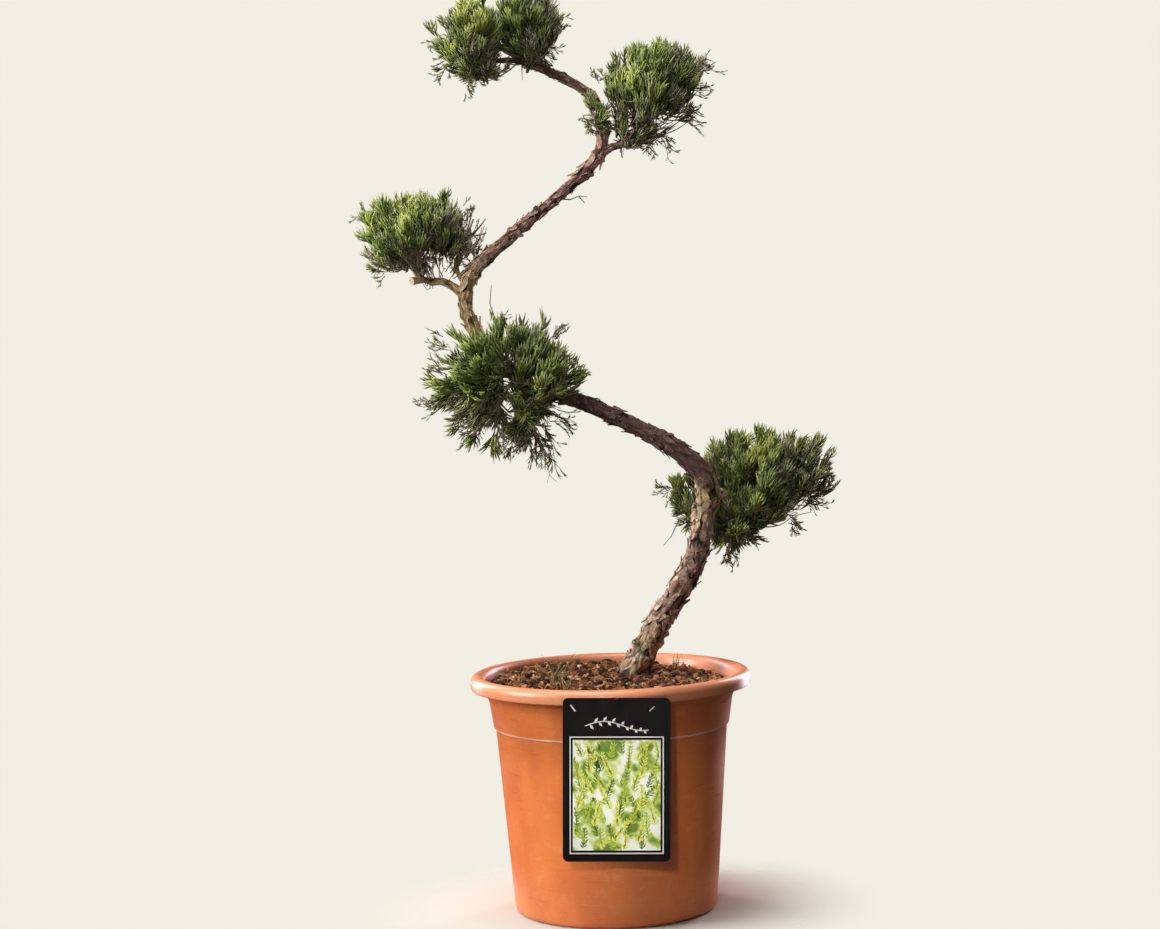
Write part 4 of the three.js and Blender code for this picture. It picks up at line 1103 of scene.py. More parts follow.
def limb_samples():
    """Points along the trunk and the bare parts of the boughs, each with its radius."""
    trunk = LimbLine(TRUNK)
    places, radii = [], []
    for line, end in [(trunk, 1.0)] + [(bough_line(mass, trunk), mass.bare) for mass in MASSES if mass.bare]:
        u = np.linspace(0, end, int(end * line.length / LIMB_STEP) + 2)
        places.append(line.at(u))
        radii.append(line.radius(u))
    return np.vstack(places), np.concatenate(radii)


def clear_of(points, limbs, gap, batch=4000):
    """Which points keep a gap to the limbs."""
    places, radii = limbs
    kept = np.ones(len(points), bool)
    for i in range(0, len(points), batch):
        away = np.linalg.norm(points[i : i + batch, None] - places[None], axis=-1) - radii
        kept[i : i + batch] = away.min(axis=1) > gap
    return kept


def own_space(mass, points):
    """Which points lie in a mass's own space, nearer to its lobes than to any other's."""
    own = reach(points, mass.lobes)
    kept = own < FURTHEST
    for other in MASSES:
        if other is not mass:
            kept &= reach(points, other.lobes) > own - SHARED
    return kept


def thin_share(mass, points):
    """The share of sprays that a mass has left at some places."""
    share = np.ones(len(points))
    for x, z, radius, left in mass.thin:
        share = np.minimum(share, 1 - near_spot(points, x, z, radius, 0.55, 1.15) * (1 - left))
    return share


def hollow_depth(points):
    """How deep a hollow is at some places."""
    depth = np.zeros(len(points))
    for x, z, radius, deep in HOLLOWS:
        depth = np.maximum(depth, deep * near_spot(points, x, z, radius, 0.35, 1.15))
    return depth


def sky_between(starts, ends):
    """Which lines cross a place where the sky shows through."""
    crossed = np.zeros(len(starts), bool)
    for x, z, radius in SKY_GAPS:
        for t in (0.0, 0.25, 0.5, 0.75, 1.0):
            point = starts + (ends - starts) * t
            crossed |= np.hypot(point[:, 0] - x, point[:, 2] - z) < radius
    return crossed


def lobe_area(size):
    """About how large a lobe's surface is."""
    a, b, c = (s**1.6 for s in size)
    return 4 * math.pi * ((a * b + a * c + b * c) / 3) ** (1 / 1.6)


def skeleton(mass, hub, limbs):
    """The branches inside a mass, as lines with thickness: a leader for each lobe, and branches off it."""
    wood = []
    count = BRANCHES[mass.kind]
    for middle, size, outline in mass.lobes:
        middle = np.array(middle, float)
        end = hub + (middle - hub) * 1.45
        if np.linalg.norm(middle - hub) < 6:
            end = hub + UP * 0.45 * size[2]
        lines = [(hub, end, *WOOD.leader)]
        places = np.arange(count) + 0.5
        targets = shell_points(middle, size, places, count, 0.58 + 0.14 * chance(mass.seed + 5, places))
        targets = shaped(targets, middle, size, outline)
        for i in np.flatnonzero(own_space(mass, targets) & clear_of(targets, limbs, LIMB_CLEAR + 1)):
            lines.append((hub + (end - hub) * (0.05 + 0.75 * i / count), targets[i], *WOOD.branch))
        for start, stop, thick, thin in lines:
            t = np.linspace(0, 1, BRANCH_STEPS)[:, None]
            sag = UP * 0.07 * np.linalg.norm(stop - start)
            wood.append((start + (stop - start) * t - 4 * t * (1 - t) * sag, thick + (thin - thick) * t[:, 0]))
    return wood


def tuft_middles(mass):
    """The middles of the solid's tufts, which the twigs gather round."""
    faces = [size[0] * size[2] for _, size, _ in mass.lobes]
    tufts = []
    for (middle, size, _), face in zip(mass.lobes, faces):
        count = max(4, round(mass.sprigs * face / sum(faces)))
        index, places = uneven_places(mass.seed, count)
        tufts.append(shell_points(middle, size, places, count, 0.96 + 0.07 * chance(mass.seed + 2, index)))
    return np.vstack(tufts)


def twig_tips(mass, rng):
    """Where a mass's twigs end, the lobe's middle for each, which of them are inner ones and how they lean."""
    seed, loose = mass.seed, mass.loose
    area = TWIG_AREA[mass.kind] * (1 + 0.25 * loose)
    tufts = tuft_middles(mass)
    found = []
    for middle, size, outline in mass.lobes:
        for layer, share, (start, end), power in ((0, 1.0, mass.edge, 1.4), (1, INNER_SHARE, (0.4, 0.8), 1.0)):
            count = int(lobe_area(size) / area * share)
            index, places = uneven_places(seed, count)
            depth = start + (end - start) * chance(seed + 2 + 4 * layer, index) ** power
            tips = shell_points(middle, size, places, count, depth) + rng.normal(0, 1.6, (count, 3))
            away = np.linalg.norm(tips[:, None] - tufts[None], axis=-1)
            lean = np.clip((tips - tufts[away.argmin(axis=1)]) / TUFT_REACH, -1, 1)
            recede = smoothstep(away.min(axis=1), 6, TUFT_REACH)
            tips = middle + (tips - middle) * (1 - (0.13 + 0.1 * loose) * recede)[:, None]
            kept = (reach(tips, mass.lobes) > (0.25 if layer else 0.6)) & own_space(mass, tips)
            kept &= rng.random(count) > 0.6 * loose * recede * (1 - layer)
            tips = shaped(tips[kept], middle, size, outline)
            tips[:, 1] += np.clip(middle[1] - tips[:, 1], 0, hollow_depth(tips))
            middles = np.broadcast_to(np.array(middle, float), tips.shape)
            found.append((tips, middles, np.full(len(tips), layer == 1), lean[kept]))
    return [np.concatenate(part) for part in zip(*found)]


def curved(start, end, heading, count, bend=0.45):
    """Lines that leave their starts and arrive at their ends along a heading."""
    far = np.linalg.norm(end - start, axis=-1, keepdims=True)
    middle = end - heading * far * bend
    middle[:, 2] = np.maximum(middle[:, 2], np.minimum(start[:, 2], end[:, 2]) - 2)
    t = np.linspace(0, 1, count)[:, None, None]
    return (1 - t) ** 2 * start + 2 * t * (1 - t) * middle + t**2 * end


def twig_headings(mass, source, tips, middles, leans, rng):
    """Where twigs head: away from their source, up a little, out of their lobe and out of their tuft."""
    height = mass.lobes[0][1][2]
    lift = mass.lift * (0.25 + 0.75 * smoothstep((tips - source)[:, 2] / height, -0.5, 0.5))
    heading = unit(tips - source) + UP * lift[:, None] + 0.32 * unit(tips - middles) + 0.5 * leans
    return unit(heading + rng.normal(0, 0.12, tips.shape))


def sprays_on(paths, heading, tips, length, live, rng):
    """The sprays of twigs that bear leaves: root, direction, length and twig of each."""
    found = []
    for place_on, tilt, share in SPRAYS:
        t = place_on * (TWIG_STEPS - 1)
        low = min(TWIG_STEPS - 2, int(t))
        root = paths[low, live] + (paths[low + 1, live] - paths[low, live]) * (t - low)
        aim = heading[live]
        side = unit(np.cross(aim, rng.normal(0, 1, aim.shape)))
        far = np.linalg.norm(tips[live] - root, axis=1)
        long = np.minimum(far * share, 0.95 * length[live]) * rng.uniform(0.86, 1.04, len(live))
        found.append((root, unit(aim * math.cos(tilt) + side * math.sin(tilt)), long, live))
    return [np.concatenate(part) for part in zip(*found)]


def grow_mass(mass, limbs, spray):
    """A mass's wood as lines with thickness, and its sprays as a dictionary of arrays."""
    rng = np.random.default_rng(mass.seed)
    source = np.array(mass.source, float)
    wood = skeleton(mass, np.array(mass.line[-1], float), limbs)
    joints = np.vstack([path for path, _ in wood])
    tips, middles, inner, leans = twig_tips(mass, rng)
    heading = twig_headings(mass, source, tips, middles, leans, rng)
    scale = np.cbrt(np.prod(mass.lobes[0][1])) / MIDDLING_LOBE
    length = spray * min(1.0, max(0.74, scale)) * rng.uniform(0.85, 1.2, len(tips)) * (1 + 0.18 * mass.loose)
    ends = tips - heading * (0.8 * length)[:, None]
    kept = clear_of(tips, limbs, LIMB_CLEAR) & clear_of(ends, limbs, LIMB_CLEAR - 0.5)
    kept &= ~sky_between(ends, tips)
    share = thin_share(mass, tips)
    leafy = rng.random(len(tips)) < share
    kept &= leafy | ((rng.random(len(tips)) < BARE_SHARE) & (share > 0.03))
    some = (tips, ends, heading, length, leafy, inner, middles)
    tips, ends, heading, length, leafy, inner, middles = (values[kept] for values in some)
    cost = np.linalg.norm(ends[:, None] - joints[None], axis=-1)
    cost += 0.35 * np.linalg.norm(joints - source, axis=1)[None]
    paths = curved(joints[cost.argmin(axis=1)], ends, heading, TWIG_STEPS)
    bare = tips - heading * (0.15 * length)[:, None]
    for i in range(len(tips)):
        path = paths[:, i] if leafy[i] else np.vstack([paths[:, i], bare[i]])
        wood.append((path, np.linspace(*WOOD.twig, len(path))))
    root, facing, long, twig = sprays_on(paths, heading, tips, length, np.flatnonzero(leafy), rng)
    bend = unit(UP + 0.45 * unit(root - source) + rng.normal(0, 0.25, root.shape))
    tips = root + facing * long[:, None]
    kept = ~sky_between(root, tips) & clear_of(tips, limbs, LIMB_CLEAR - 1)
    kept &= rng.random(len(kept)) < 0.35 + 0.65 * thin_share(mass, tips)
    sprays = {"root": root, "facing": facing, "bend": bend, "long": long, "twig": twig}
    sprays |= {"inner": inner[twig], "middle": middles[twig]}
    return wood, {key: values[kept] for key, values in sprays.items()}


def wisp_line(start, turn, curl, long, deep):
    """A line that starts along a turn in the picture's plane and curls on."""
    steps = WISP_STEPS - 1
    angles = turn + curl * np.arange(steps) / steps
    moves = np.stack([np.cos(angles), np.full(steps, deep), np.sin(angles)], -1) * long / steps
    return start + np.vstack([np.zeros(3), np.cumsum(moves, axis=0)])


def grow_wisps():
    """The wisps' wood as lines with thickness, and their sprays as a dictionary of arrays."""
    wood, roots, facings, longs = [], [], [], []
    for number, (root, heading, fan, length, count) in enumerate(WISPS):
        rng = np.random.default_rng(SEEDS.wisp + number)
        for _ in range(count):
            turn = math.radians(heading + fan * rng.uniform(-1, 1))
            curl, deep = rng.uniform(-0.6, 0.6), rng.uniform(-0.3, 0.3)
            long = length * rng.uniform(0.5, 1.05)
            line = wisp_line(np.array(root) + rng.normal(0, 4, 3), turn, curl, long, deep)
            wood.append((line, np.linspace(*WOOD.wisp, WISP_STEPS)))
            ends = [(line, long)]
            for place_on in rng.integers(1, WISP_STEPS, 4):
                lean = turn + curl * place_on / WISP_STEPS + rng.choice((-1, 1)) * rng.uniform(0.25, 0.6)
                twist, short = rng.uniform(-0.5, 0.5), long * rng.uniform(0.2, 0.42)
                shoot = wisp_line(line[place_on], lean, twist, short, deep)
                wood.append((shoot, np.linspace(*WOOD.shoot, WISP_STEPS)))
                ends.append((shoot, long * 0.6))
            for path, far in ends:
                if rng.random() < 0.62:
                    roots.append(path[2])
                    facings.append(unit(path[-1] - path[2]))
                    longs.append(min(15.0, max(7.0, 0.5 * far)))
    root, facing, twig = np.array(roots), np.array(facings), np.arange(len(roots))
    sprays = {"root": root, "facing": facing, "bend": unit(UP + 0.3 * facing), "long": np.array(longs)}
    return wood, sprays | {"twig": twig, "inner": np.zeros(len(root), bool), "middle": root}


def deal_shades(mass, sprays):
    """Which shade each spray has, from its place: fresh at the tips and, as painted sunlight, towards the top,
    less on the right and in sunlit places; deep inside and, as painted shade, in hollows; dull as painted shade
    on the right side and below.
    """
    rng = np.random.default_rng(mass.seed + SEEDS.shade)
    tips = sprays["root"] + sprays["facing"] * sprays["long"][:, None]
    away = tips - sprays["middle"]
    out = reach(tips, mass.lobes)
    right = smoothstep(away[:, 0], 0, 45)
    fresh = 0.1 + 0.1 * smoothstep(away[:, 2], -20, 40) - 0.12 * right
    for x, z, radius, share in mass.sunlit:
        fresh = np.maximum(fresh, near_spot(tips, x, z, radius, 0.4, 1.2) * share)
    # No fresh sprays inside, deep in the lobe or in hollows: painted shade.
    fresh = np.where(sprays["inner"] | (out < 0.75) | (hollow_depth(tips) > 8), 0.02, fresh)
    draw = 0.5 * chance(mass.seed + 50, sprays["twig"]) + 0.5 * rng.random(len(tips))
    full = fresh + 0.24 + 0.3 * (out > 0.85) + 0.25 * mass.loose
    shade = np.where(draw < fresh, 0, np.where(draw < full, 1, 2))
    # Dull sprays gather on the right side and below, where shade falls: painted shade.
    low = smoothstep(-away[:, 2], 4, 26)
    dull_shade = (rng.random(len(tips)) < 0.1 + 0.25 * right + 0.45 * low) & (shade > 0)
    return np.where(dull_shade, 3, shade)


def grow_all(length):
    """All the twigs as lines with thickness, all the sprays, and the shade of each spray."""
    limbs = limb_samples()
    wood, grown, shades = [], [], []
    for mass in MASSES:
        lines, sprays = grow_mass(mass, limbs, length)
        wood += lines
        grown.append(sprays)
        shades.append(deal_shades(mass, sprays))
    wood += [(np.array(path, float), np.linspace(*WOOD.twig, len(path))) for path in STRAYS]
    lines, sprays = grow_wisps()
    grown.append(sprays)
    shades.append(np.random.default_rng(SEEDS.wisp_shade).integers(1, len(SHADES), len(sprays["long"])))
    joined = {key: np.concatenate([some[key] for some in grown]) for key in sprays}
    return wood + lines, joined, np.concatenate(shades)


def spray_shapes(variants, cords, thickness):
    """Sprays one unit long that bend towards their second axis: a lead cord and others that fork off it."""
    shapes = []
    for variant in range(variants):
        rng = np.random.default_rng(SEEDS.spray + variant)
        bend = rng.uniform(0.16, 0.34)
        points, faces = [], []
        for i in range(cords):
            share = 0.08 + 0.56 * (i - 1) / (cords - 1) if i else 0.0
            start = np.array([0, bend * share * share, share])
            along = unit(np.array([0, 2 * bend * share, 1.0]))
            turn = i * GOLDEN_ANGLE * 1.31 + rng.uniform(-0.4, 0.4)
            tilt = rng.uniform(0.35, 0.65) if i else 0.0
            out = np.array([math.cos(turn), math.sin(turn), 0])
            first = unit(along * math.cos(tilt) + out * math.sin(tilt))
            last = unit(first * 0.4 + along * 0.6 + np.array([0, 1.3 * bend, 0]))
            long = (1 - share) * rng.uniform(0.6, 0.98) if i else 1.0
            knee = start + first * long * 0.34
            elbow = knee + unit(first + last) * long * 0.34
            side = unit(np.cross(first, rng.normal(0, 1, 3)))
            other = np.cross(first, side)
            base = len(points)
            for middle, wide in ((start, 0.7), (knee, 1.0), (elbow, 0.85)):
                for angle in (0, ROUND / 3, ROUND * 2 / 3):
                    out = math.cos(angle) * side + math.sin(angle) * other
                    points.append(middle + wide * thickness * out)
            points.append(elbow + last * long * 0.32)
            faces.append((base + 2, base + 1, base))
            for k in range(3):
                turned = (k + 1) % 3
                for low in (base, base + 3):
                    faces.append((low + k, low + turned, low + 3 + turned, low + 3 + k))
                faces.append((base + 6 + k, base + 6 + turned, base + 9))
        shapes.append((points, faces))
    return shapes


# ---- Settings ----


def a_colour(name, description, code):
    """A colour setting."""
    about = {"name": name, "description": description, "subtype": "COLOR"}
    return FloatVectorProperty(**about, size=4, min=0, max=1, default=linear(code))


def a_length(name, description, millimetres, low=0.0):
    """A length setting."""
    return FloatProperty(name=name, description=description, unit="LENGTH", min=low, default=millimetres * MM)


def a_number(name, description, value, unit="NONE"):
    """A setting that is a number of some kind."""
    return FloatProperty(name=name, description=description, unit=unit, min=0, default=value)


def a_count(name, description, value, low=0):
    """A setting that is a whole number."""
    return IntProperty(name=name, description=description, min=low, default=value)


class PotSettings(bpy.types.PropertyGroup):
    """The pot's mesh and colours"""

    facets: a_count("Facets", "Sides of the turned pot", 144, 24)
    pot_colour: a_colour("Terracotta", "The pot's plastic where it is lit", "#D4753B")
    pot_deep: a_colour("Deep terracotta", "The plastic's darker clouds", "#C46736")
    pot_speck: a_colour("Specks", "Fine pale specks in the plastic", "#E8915A")
    # Also the colour of the rim's painted sheen
    pot_dust: a_colour("Dust", "Dust, scuffs and the faded rim", "#E3B596")
    # The colour of the step's painted pale highlight
    pot_rubbed: a_colour("Rubbed step", "The step where it is rubbed pale", "#F0D2C0")


class MixSettings(bpy.types.PropertyGroup):
    """The potting mix's crumbs and colours"""

    smallest: a_length("Smallest chip", "Length of the smallest bark chips", 4)
    largest: a_length("Largest chip", "Length of the largest bark chips", 15)
    density: a_number("Density", "Chips of each colour for a square metre", 12000)
    chip_red: a_colour("Red chips", "Red-brown bark chips", "#84502F")
    chip_dark: a_colour("Dark chips", "Moist dark chips", "#4A2A1A")
    chip_tan: a_colour("Tan chips", "Dry tan chips and coir", "#B5835A")
    chip_pale: a_colour("Pale chips", "The palest dry chips", "#DCB08A")
    earth: a_colour("Earth", "The fine mix under the chips", "#3A2015")
    earth_deep: a_colour("Deep earth", "The fine mix where it is moist", "#1C0F0A")
    straw: a_colour("Straw", "Dry blades and fibres", "#B8935F")
    moss: a_colour("Weeds", "Small green blades", "#77784A")


class BarkSettings(bpy.types.PropertyGroup):
    """The bark's relief, flakes and colours"""

    depth: a_number("Depth", "How deep the bark's relief is", 1.0)
    spacing: a_length("Spacing", "Distance between the mesh's rings", 0.95, 0.0002)
    sides: a_count("Sides", "Points round the trunk", 64, 12)
    flakes: a_count("Flakes", "Loose flakes of bark", 560)
    flake_length: a_length("Flake length", "Length of a middling flake", 16)
    flake_sway: a_number("Flake sway", "How far flakes turn aside", 0.2, "ROTATION")
    bark_pale: a_colour("Pale scales", "Weathered scales of bark", "#DCC8B4")
    cut_wood: a_colour("Sawn wood", "The sawn end of the stub", "#D6BE9C")
    cut_pores: a_colour("Pores", "The sawn wood's pores", "#A88F70")


class FoliageSettings(bpy.types.PropertyGroup):
    """The sprays' sizes and colours"""

    length: a_length("Spray length", "Length of a twig's leafy end", 28)
    thickness: a_length("Cord thickness", "Radius of a leafy cord", 0.98)
    cords: a_count("Cords", "Leafy cords in a spray", 5, 3)
    variants: a_count("Variants", "Different sprays", 8, 1)
    sway: a_number("Sway", "How far sprays turn aside", 0.7, "ROTATION")
    # Also dealt towards the top and in sunlit places as painted sunlight
    fresh: a_colour("Fresh leaf", "Young yellow-green sprays in the sun", "#B0BA60")
    leaf: a_colour("Leaf", "Full green sprays", "#869649")
    # Also dealt inside and in hollows as painted shade
    deep: a_colour("Deep leaf", "Older deep green sprays", "#687544")
    # Dealt on the right side and below as painted shade
    shaded: a_colour("Dull leaf", "Grey-green sprays with old wood", "#9C9A76")
    twig_light: a_colour("Light twig", "Young wood", "#AE9A82")
    twig_dark: a_colour("Dark twig", "Older twigs", "#665346")


class CardSettings(bpy.types.PropertyGroup):
    """The card's inks"""

    card_gloss: a_number("Gloss", "Roughness of the laminated print", 0.3)
    peg_gloss: a_number("Peg's gloss", "Roughness of the peg", 0.4)
    ink: a_colour("Ink", "The card's black print", "#0D0807")
    line: a_colour("Line", "The thin line round the picture", "#E9E6E0")
    leaf_light: a_colour("Light leaves", "Lightest leaves of the picture", "#E6EC6C")
    leaf_mid: a_colour("Middle leaves", "Middle leaves of the picture", "#BCCE4A")
    leaf_dark: a_colour("Dark leaves", "Darkest leaves of the picture", "#7C9238")


class StageSettings(bpy.types.PropertyGroup):
    """The floor, the backdrop and the lights"""

    background: a_colour("Background", "The pale backdrop", "#F1EEE3")
    floor: a_colour("Floor", "The floor where it is lit", "#BEBCB2")
    white: a_colour("White", "The white lights' colour", "#FFFFFF")
    edge_tint: a_colour("Edge light's tint", "Colour of the lights behind", "#FFE2EA")
    key: a_number("Key light", "Power of the soft box on the left", 88, "POWER")
    top: a_number("Top light", "Power of the soft box overhead", 70, "POWER")
    fill: a_number("Fill light", "Power of the fill light", 4.5, "POWER")
    crown: a_number("Crown light", "Power of the soft spot on the crown", 120, "POWER")
    card: a_number("Card light", "Power of the narrow light on the card", 66, "POWER")
    edge: a_number("Edge lights", "Power of the lights behind", 48, "POWER")
    ambient: a_number("Ambient", "Strength of the even light", 0.036)


GROUPS = {
    "juniper_pot": PotSettings,
    "juniper_mix": MixSettings,
    "juniper_bark": BarkSettings,
    "juniper_foliage": FoliageSettings,
    "juniper_card": CardSettings,
    "juniper_stage": StageSettings,
}


def place(piece, nodes, slot):
    """Attaches a finished piece to the root body, on which it rides, and hides the nodes that it stands for. Its
    slot is not used.
    """
    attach(piece, "root")
    if nodes:
        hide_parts(*nodes)


# ---- Pot and potting mix ----


def pot_outline():
    """The pot's outline, from the middle of its underside up and over the rim to the middle of its floor."""
    p = POT
    foot, inner = p.height - p.lip_depth, p.base - p.wall
    middle, half = (p.rim + p.mouth) / 2, (p.rim - p.mouth) / 2
    outline = [(AXIS, 0), (p.base - p.base_round, 0)]
    for turn in map(math.radians, (30, 60, 90)):
        outline.append((p.base - p.base_round * (1 - math.sin(turn)), p.base_round * (1 - math.cos(turn))))
    for share in (0.2, 0.4, 0.6, 0.8):
        up = p.base_round + (p.step_height - p.base_round) * share
        outline.append((p.base + (p.body_top - p.base) * share, up))
    outline += [(p.body_top + out, p.step_height + up) for out, up in POT_EDGES.step]
    outline += [(p.collar + out, p.collar_height + up) for out, up in POT_EDGES.collar]
    outline += [(p.mouth + p.wall + out, foot + up) for out, up in POT_EDGES.neck]
    outline += [(p.rim + out, foot + up) for out, up in POT_EDGES.lip]
    for turn in map(math.radians, range(0, 181, 12)):
        outline.append((middle + half * math.cos(turn), p.height - half * (1 - math.sin(turn))))
    outline += [(p.collar - p.wall, p.collar_height), (p.body_top - p.wall, p.step_height)]
    return outline + [(inner, p.floor + 5), (inner - 5, p.floor), (AXIS, p.floor)]


def drill(piece, context):
    """Cuts the drain holes through the pot's floor."""
    holes = []
    out, radius = POT.drain_circle * MM, POT.drain_radius * MM
    for i in range(POT.drain_holes):
        turn = (i + 0.5) / POT.drain_holes * ROUND
        at = (out * math.cos(turn), out * math.sin(turn), 0)
        bpy.ops.mesh.primitive_cylinder_add(vertices=24, radius=radius, depth=20 * MM, location=at)
        holes.append(context.object)
    for hole in holes:
        cut = piece.modifiers.new("hole", "BOOLEAN")
        cut.operation, cut.solver, cut.object = "DIFFERENCE", "EXACT", hole
    context.view_layer.update()
    shape = bpy.data.meshes.new_from_object(piece.evaluated_get(context.evaluated_depsgraph_get()))
    piece.modifiers.clear()
    piece.data = shape
    for hole in holes:
        bpy.data.objects.remove(hole)


def soil_height(x, y):
    """The height of the mix at a place: level round the trunk's foot, heaped up at the back on the left."""
    away = np.hypot(x - TRUNK[0][0], y - TRUNK[0][1])
    fall = smoothstep(away, SOIL.level_reach, SOIL.mound_reach)
    heap = SOIL.heap * fall * smoothstep((0.83 * y - 0.55 * x) / SOIL.radius, -0.1, 0.8)
    return float(SOIL.level + (SOIL.edge - SOIL.level) * fall + heap)


def mix_bed(settings, sides=120, rings=56):
    """The fine mix, with a lumpy top."""
    points = []
    for ring in range(rings):
        for x, y, _ in circle(sides, SOIL.radius * (ring + 0.01) / (rings - 1), 0):
            lumps = sum(noise.noise(Vector((x / w, y / w, layer))) * high for w, layer, high in SOIL.lumps)
            points.append((x, y, soil_height(x, y) - SOIL.bed_depth + lumps))
    for out, height in SOIL.underside:
        points += circle(sides, out, height)
    earth = mix_material("moist_potting_mix", settings.earth, settings.earth_deep, 6)
    faces = turned_over(tube_faces(len(points) // sides, sides))
    place(mesh_object("mix_bed", points, faces, earth), ["potting_mix"], "potting_mix")


def chip_shapes(variants):
    """Irregular flat chips about one unit long."""
    shapes = []
    for variant in range(variants):
        rng = np.random.default_rng(SEEDS.chip + variant)
        wide, high = rng.uniform(0.35, 0.75), rng.uniform(0.16, 0.42)
        points = []
        for level, shrink in ((-1, 0.72), (0, 1.0), (1, 0.66)):
            for x, y, _ in circle(6, 0.5 * shrink, 0):
                jitter = rng.uniform(0.72, 1.18)
                points.append((x * jitter, y * wide * jitter, 0.5 * high * level + rng.uniform(-0.06, 0.06)))
        shapes.append((points, tube_faces(3, 6)))
    return shapes


def strew_chips(settings, variants=10, sides=48):
    """Bark chips in four colours, strewn over the mix."""
    level = [point for radius in CHIP_RINGS for point in circle(sides, radius, 0)]
    ground = [(x, y, soil_height(x, y) - SOIL.crumb_depth) for x, y, _ in level]
    faces = turned_over(tube_faces(len(CHIP_RINGS), sides, caps=False))
    shapes = kit("chips", chip_shapes(variants), smooth=False)
    tree = crumbs_tree(variants)
    for seed, (name, share, scale) in enumerate(CHIPS, 1):
        tone = getattr(settings, "chip_" + name)
        values = {"Crumbs": shapes, "Density": settings.density * share, "Seed": seed}
        values |= {"Smallest": settings.smallest * scale, "Largest": settings.largest * scale}
        material = mix_material("bark_chips_" + name, tone, darker(tone, 0.45))
        source = mesh_object("bed_copy", ground, faces)
        place(run_tree("chips_" + name, source, tree, **values, Material=material), [], "potting_mix")
    drop_kit(shapes)


def fibres(settings):
    """Dry blades and coir on the mix, some curled on it and a few standing in tufts."""
    rng = np.random.default_rng(SEEDS.blade)
    groups = {"straw": [], "moss": []}
    for _ in range(COIR.number):
        out, turn = COIR.spread * math.sqrt(rng.random()), rng.uniform(0, ROUND)
        x, y = out * math.cos(turn), out * math.sin(turn)
        start = np.array([x, y, soil_height(x, y) + rng.uniform(-1, 1.5)])
        head = rng.uniform(0, ROUND)
        flat = np.array([math.cos(head), math.sin(head), 0])
        long, rise = rng.uniform(6, 17), rng.uniform(0.0, 0.3)
        path = [start + flat * long * t + UP * (long * rise * 4 * t * (1 - t)) for t in BLADE_STEPS]
        path = [p + rng.normal(0, 0.8, 3) * (i > 0) for i, p in enumerate(path)]
        if math.hypot(path[-1][0], path[-1][1]) < COIR.limit:
            groups["straw"].append((np.array(path), COIR.radii))
    for middle, count, tall, green in TUFTS:
        for _ in range(count):
            at = np.array(middle) + rng.normal(0, 4, 2)
            start = np.array([*at, soil_height(*at) - 2])
            lean = rng.normal(0, 0.5, 2)
            long = tall * rng.uniform(0.5, 1.0)
            path = [start + np.array([lean[0] * t * t, lean[1] * t * t, t]) * long for t in BLADE_STEPS]
            kind = "moss" if rng.random() < green else "straw"
            groups[kind].append((np.array(path), BLADE_RADII))
    tree = twigs_tree()
    for kind, lines in groups.items():
        tone = getattr(settings, kind)
        material = mix_material("dry_" + kind, tone, darker(tone, 0.6), 9)
        blades = run_tree("blades_" + kind, line_object(lines), tree, Sides=TWIG_SIDES, Material=material)
        place(blades, [], "potting_mix")


# ---- Card ----


def on_card(x, z, lift):
    """A point on the card's face, from right and up of the peg's hole (mm)."""
    swing = math.radians(CARD.swing)
    right = CARD.peg[0] + x * math.cos(swing) + z * math.sin(swing)
    return right, CARD.face - lift, CARD.peg[1] - x * math.sin(swing) + z * math.cos(swing)


def plate(outlines, lift, thickness):
    """Thin plates on the card from outlines, each turned anticlockwise as seen from the front."""
    points, faces = [], []
    for outline in outlines:
        base, count = len(points), len(outline)
        for level in (lift + thickness, lift):
            points += [on_card(x, z, level) for x, z in outline]
        faces.append(tuple(base + k for k in range(count)))
        faces.append(tuple(base + count + k for k in reversed(range(count))))
        for k in range(count):
            turn = (k + 1) % count
            faces.append((base + k, base + count + k, base + count + turn, base + turn))
    return points, faces


def rectangle(x0, x1, z0, z1):
    """A rectangle on the card, its heights counted from the picture's middle."""
    low, high = z0 + CARD.middle, z1 + CARD.middle
    return [(x0, low), (x1, low), (x1, high), (x0, high)]


def card_bars():
    """The thin white line round the picture, as four bars."""
    x, z = (side / 2 for side in CARD.line)
    wide = CARD.line_width
    bars = [rectangle(-x, x, z - wide, z), rectangle(-x, x, -z, wide - z)]
    return bars + [rectangle(a, a + wide, wide - z, z - wide) for a in (-x, x - wide)]


def dash(start, end, wide):
    """A short straight stroke between two points."""
    (x0, z0), (x1, z1) = start, end
    away = math.hypot(x1 - x0, z1 - z0)
    a, b = -(z1 - z0) / away * wide / 2, (x1 - x0) / away * wide / 2
    return [(x0 - a, z0 - b), (x1 - a, z1 - b), (x1 + a, z1 + b), (x0 + a, z0 + b)]


def leaf_outline(x, z, heading, long, wide):
    """A pointed leaflet from its foot."""
    cos, sin = math.cos(heading), math.sin(heading)
    corners = [(along * long, side * wide) for along, side in ((0, 0), (0.5, -0.5), (1, 0), (0.5, 0.5))]
    return [(x + a * cos - b * sin, z + a * sin + b * cos) for a, b in corners]


def sprig_strokes():
    """The small pale sprig over the picture, and two strokes beside the peg."""
    s, (x, z), (long, wide) = SPRIG, SPRIG.start, SPRIG.leaf
    stem = [(x + s.run * t, z + s.high * math.sin(s.wave * t)) for t in np.linspace(0, 1, s.points)]
    strokes = [dash(*stroke) for stroke in STROKES] + [dash(a, b, s.stroke) for a, b in zip(stem, stem[1:])]
    for i, (x, z) in enumerate(stem[1:-1]):
        strokes.append(leaf_outline(x, z, s.lean if i % 2 else -s.lean, long - 0.25 * i, wide))
    return strokes


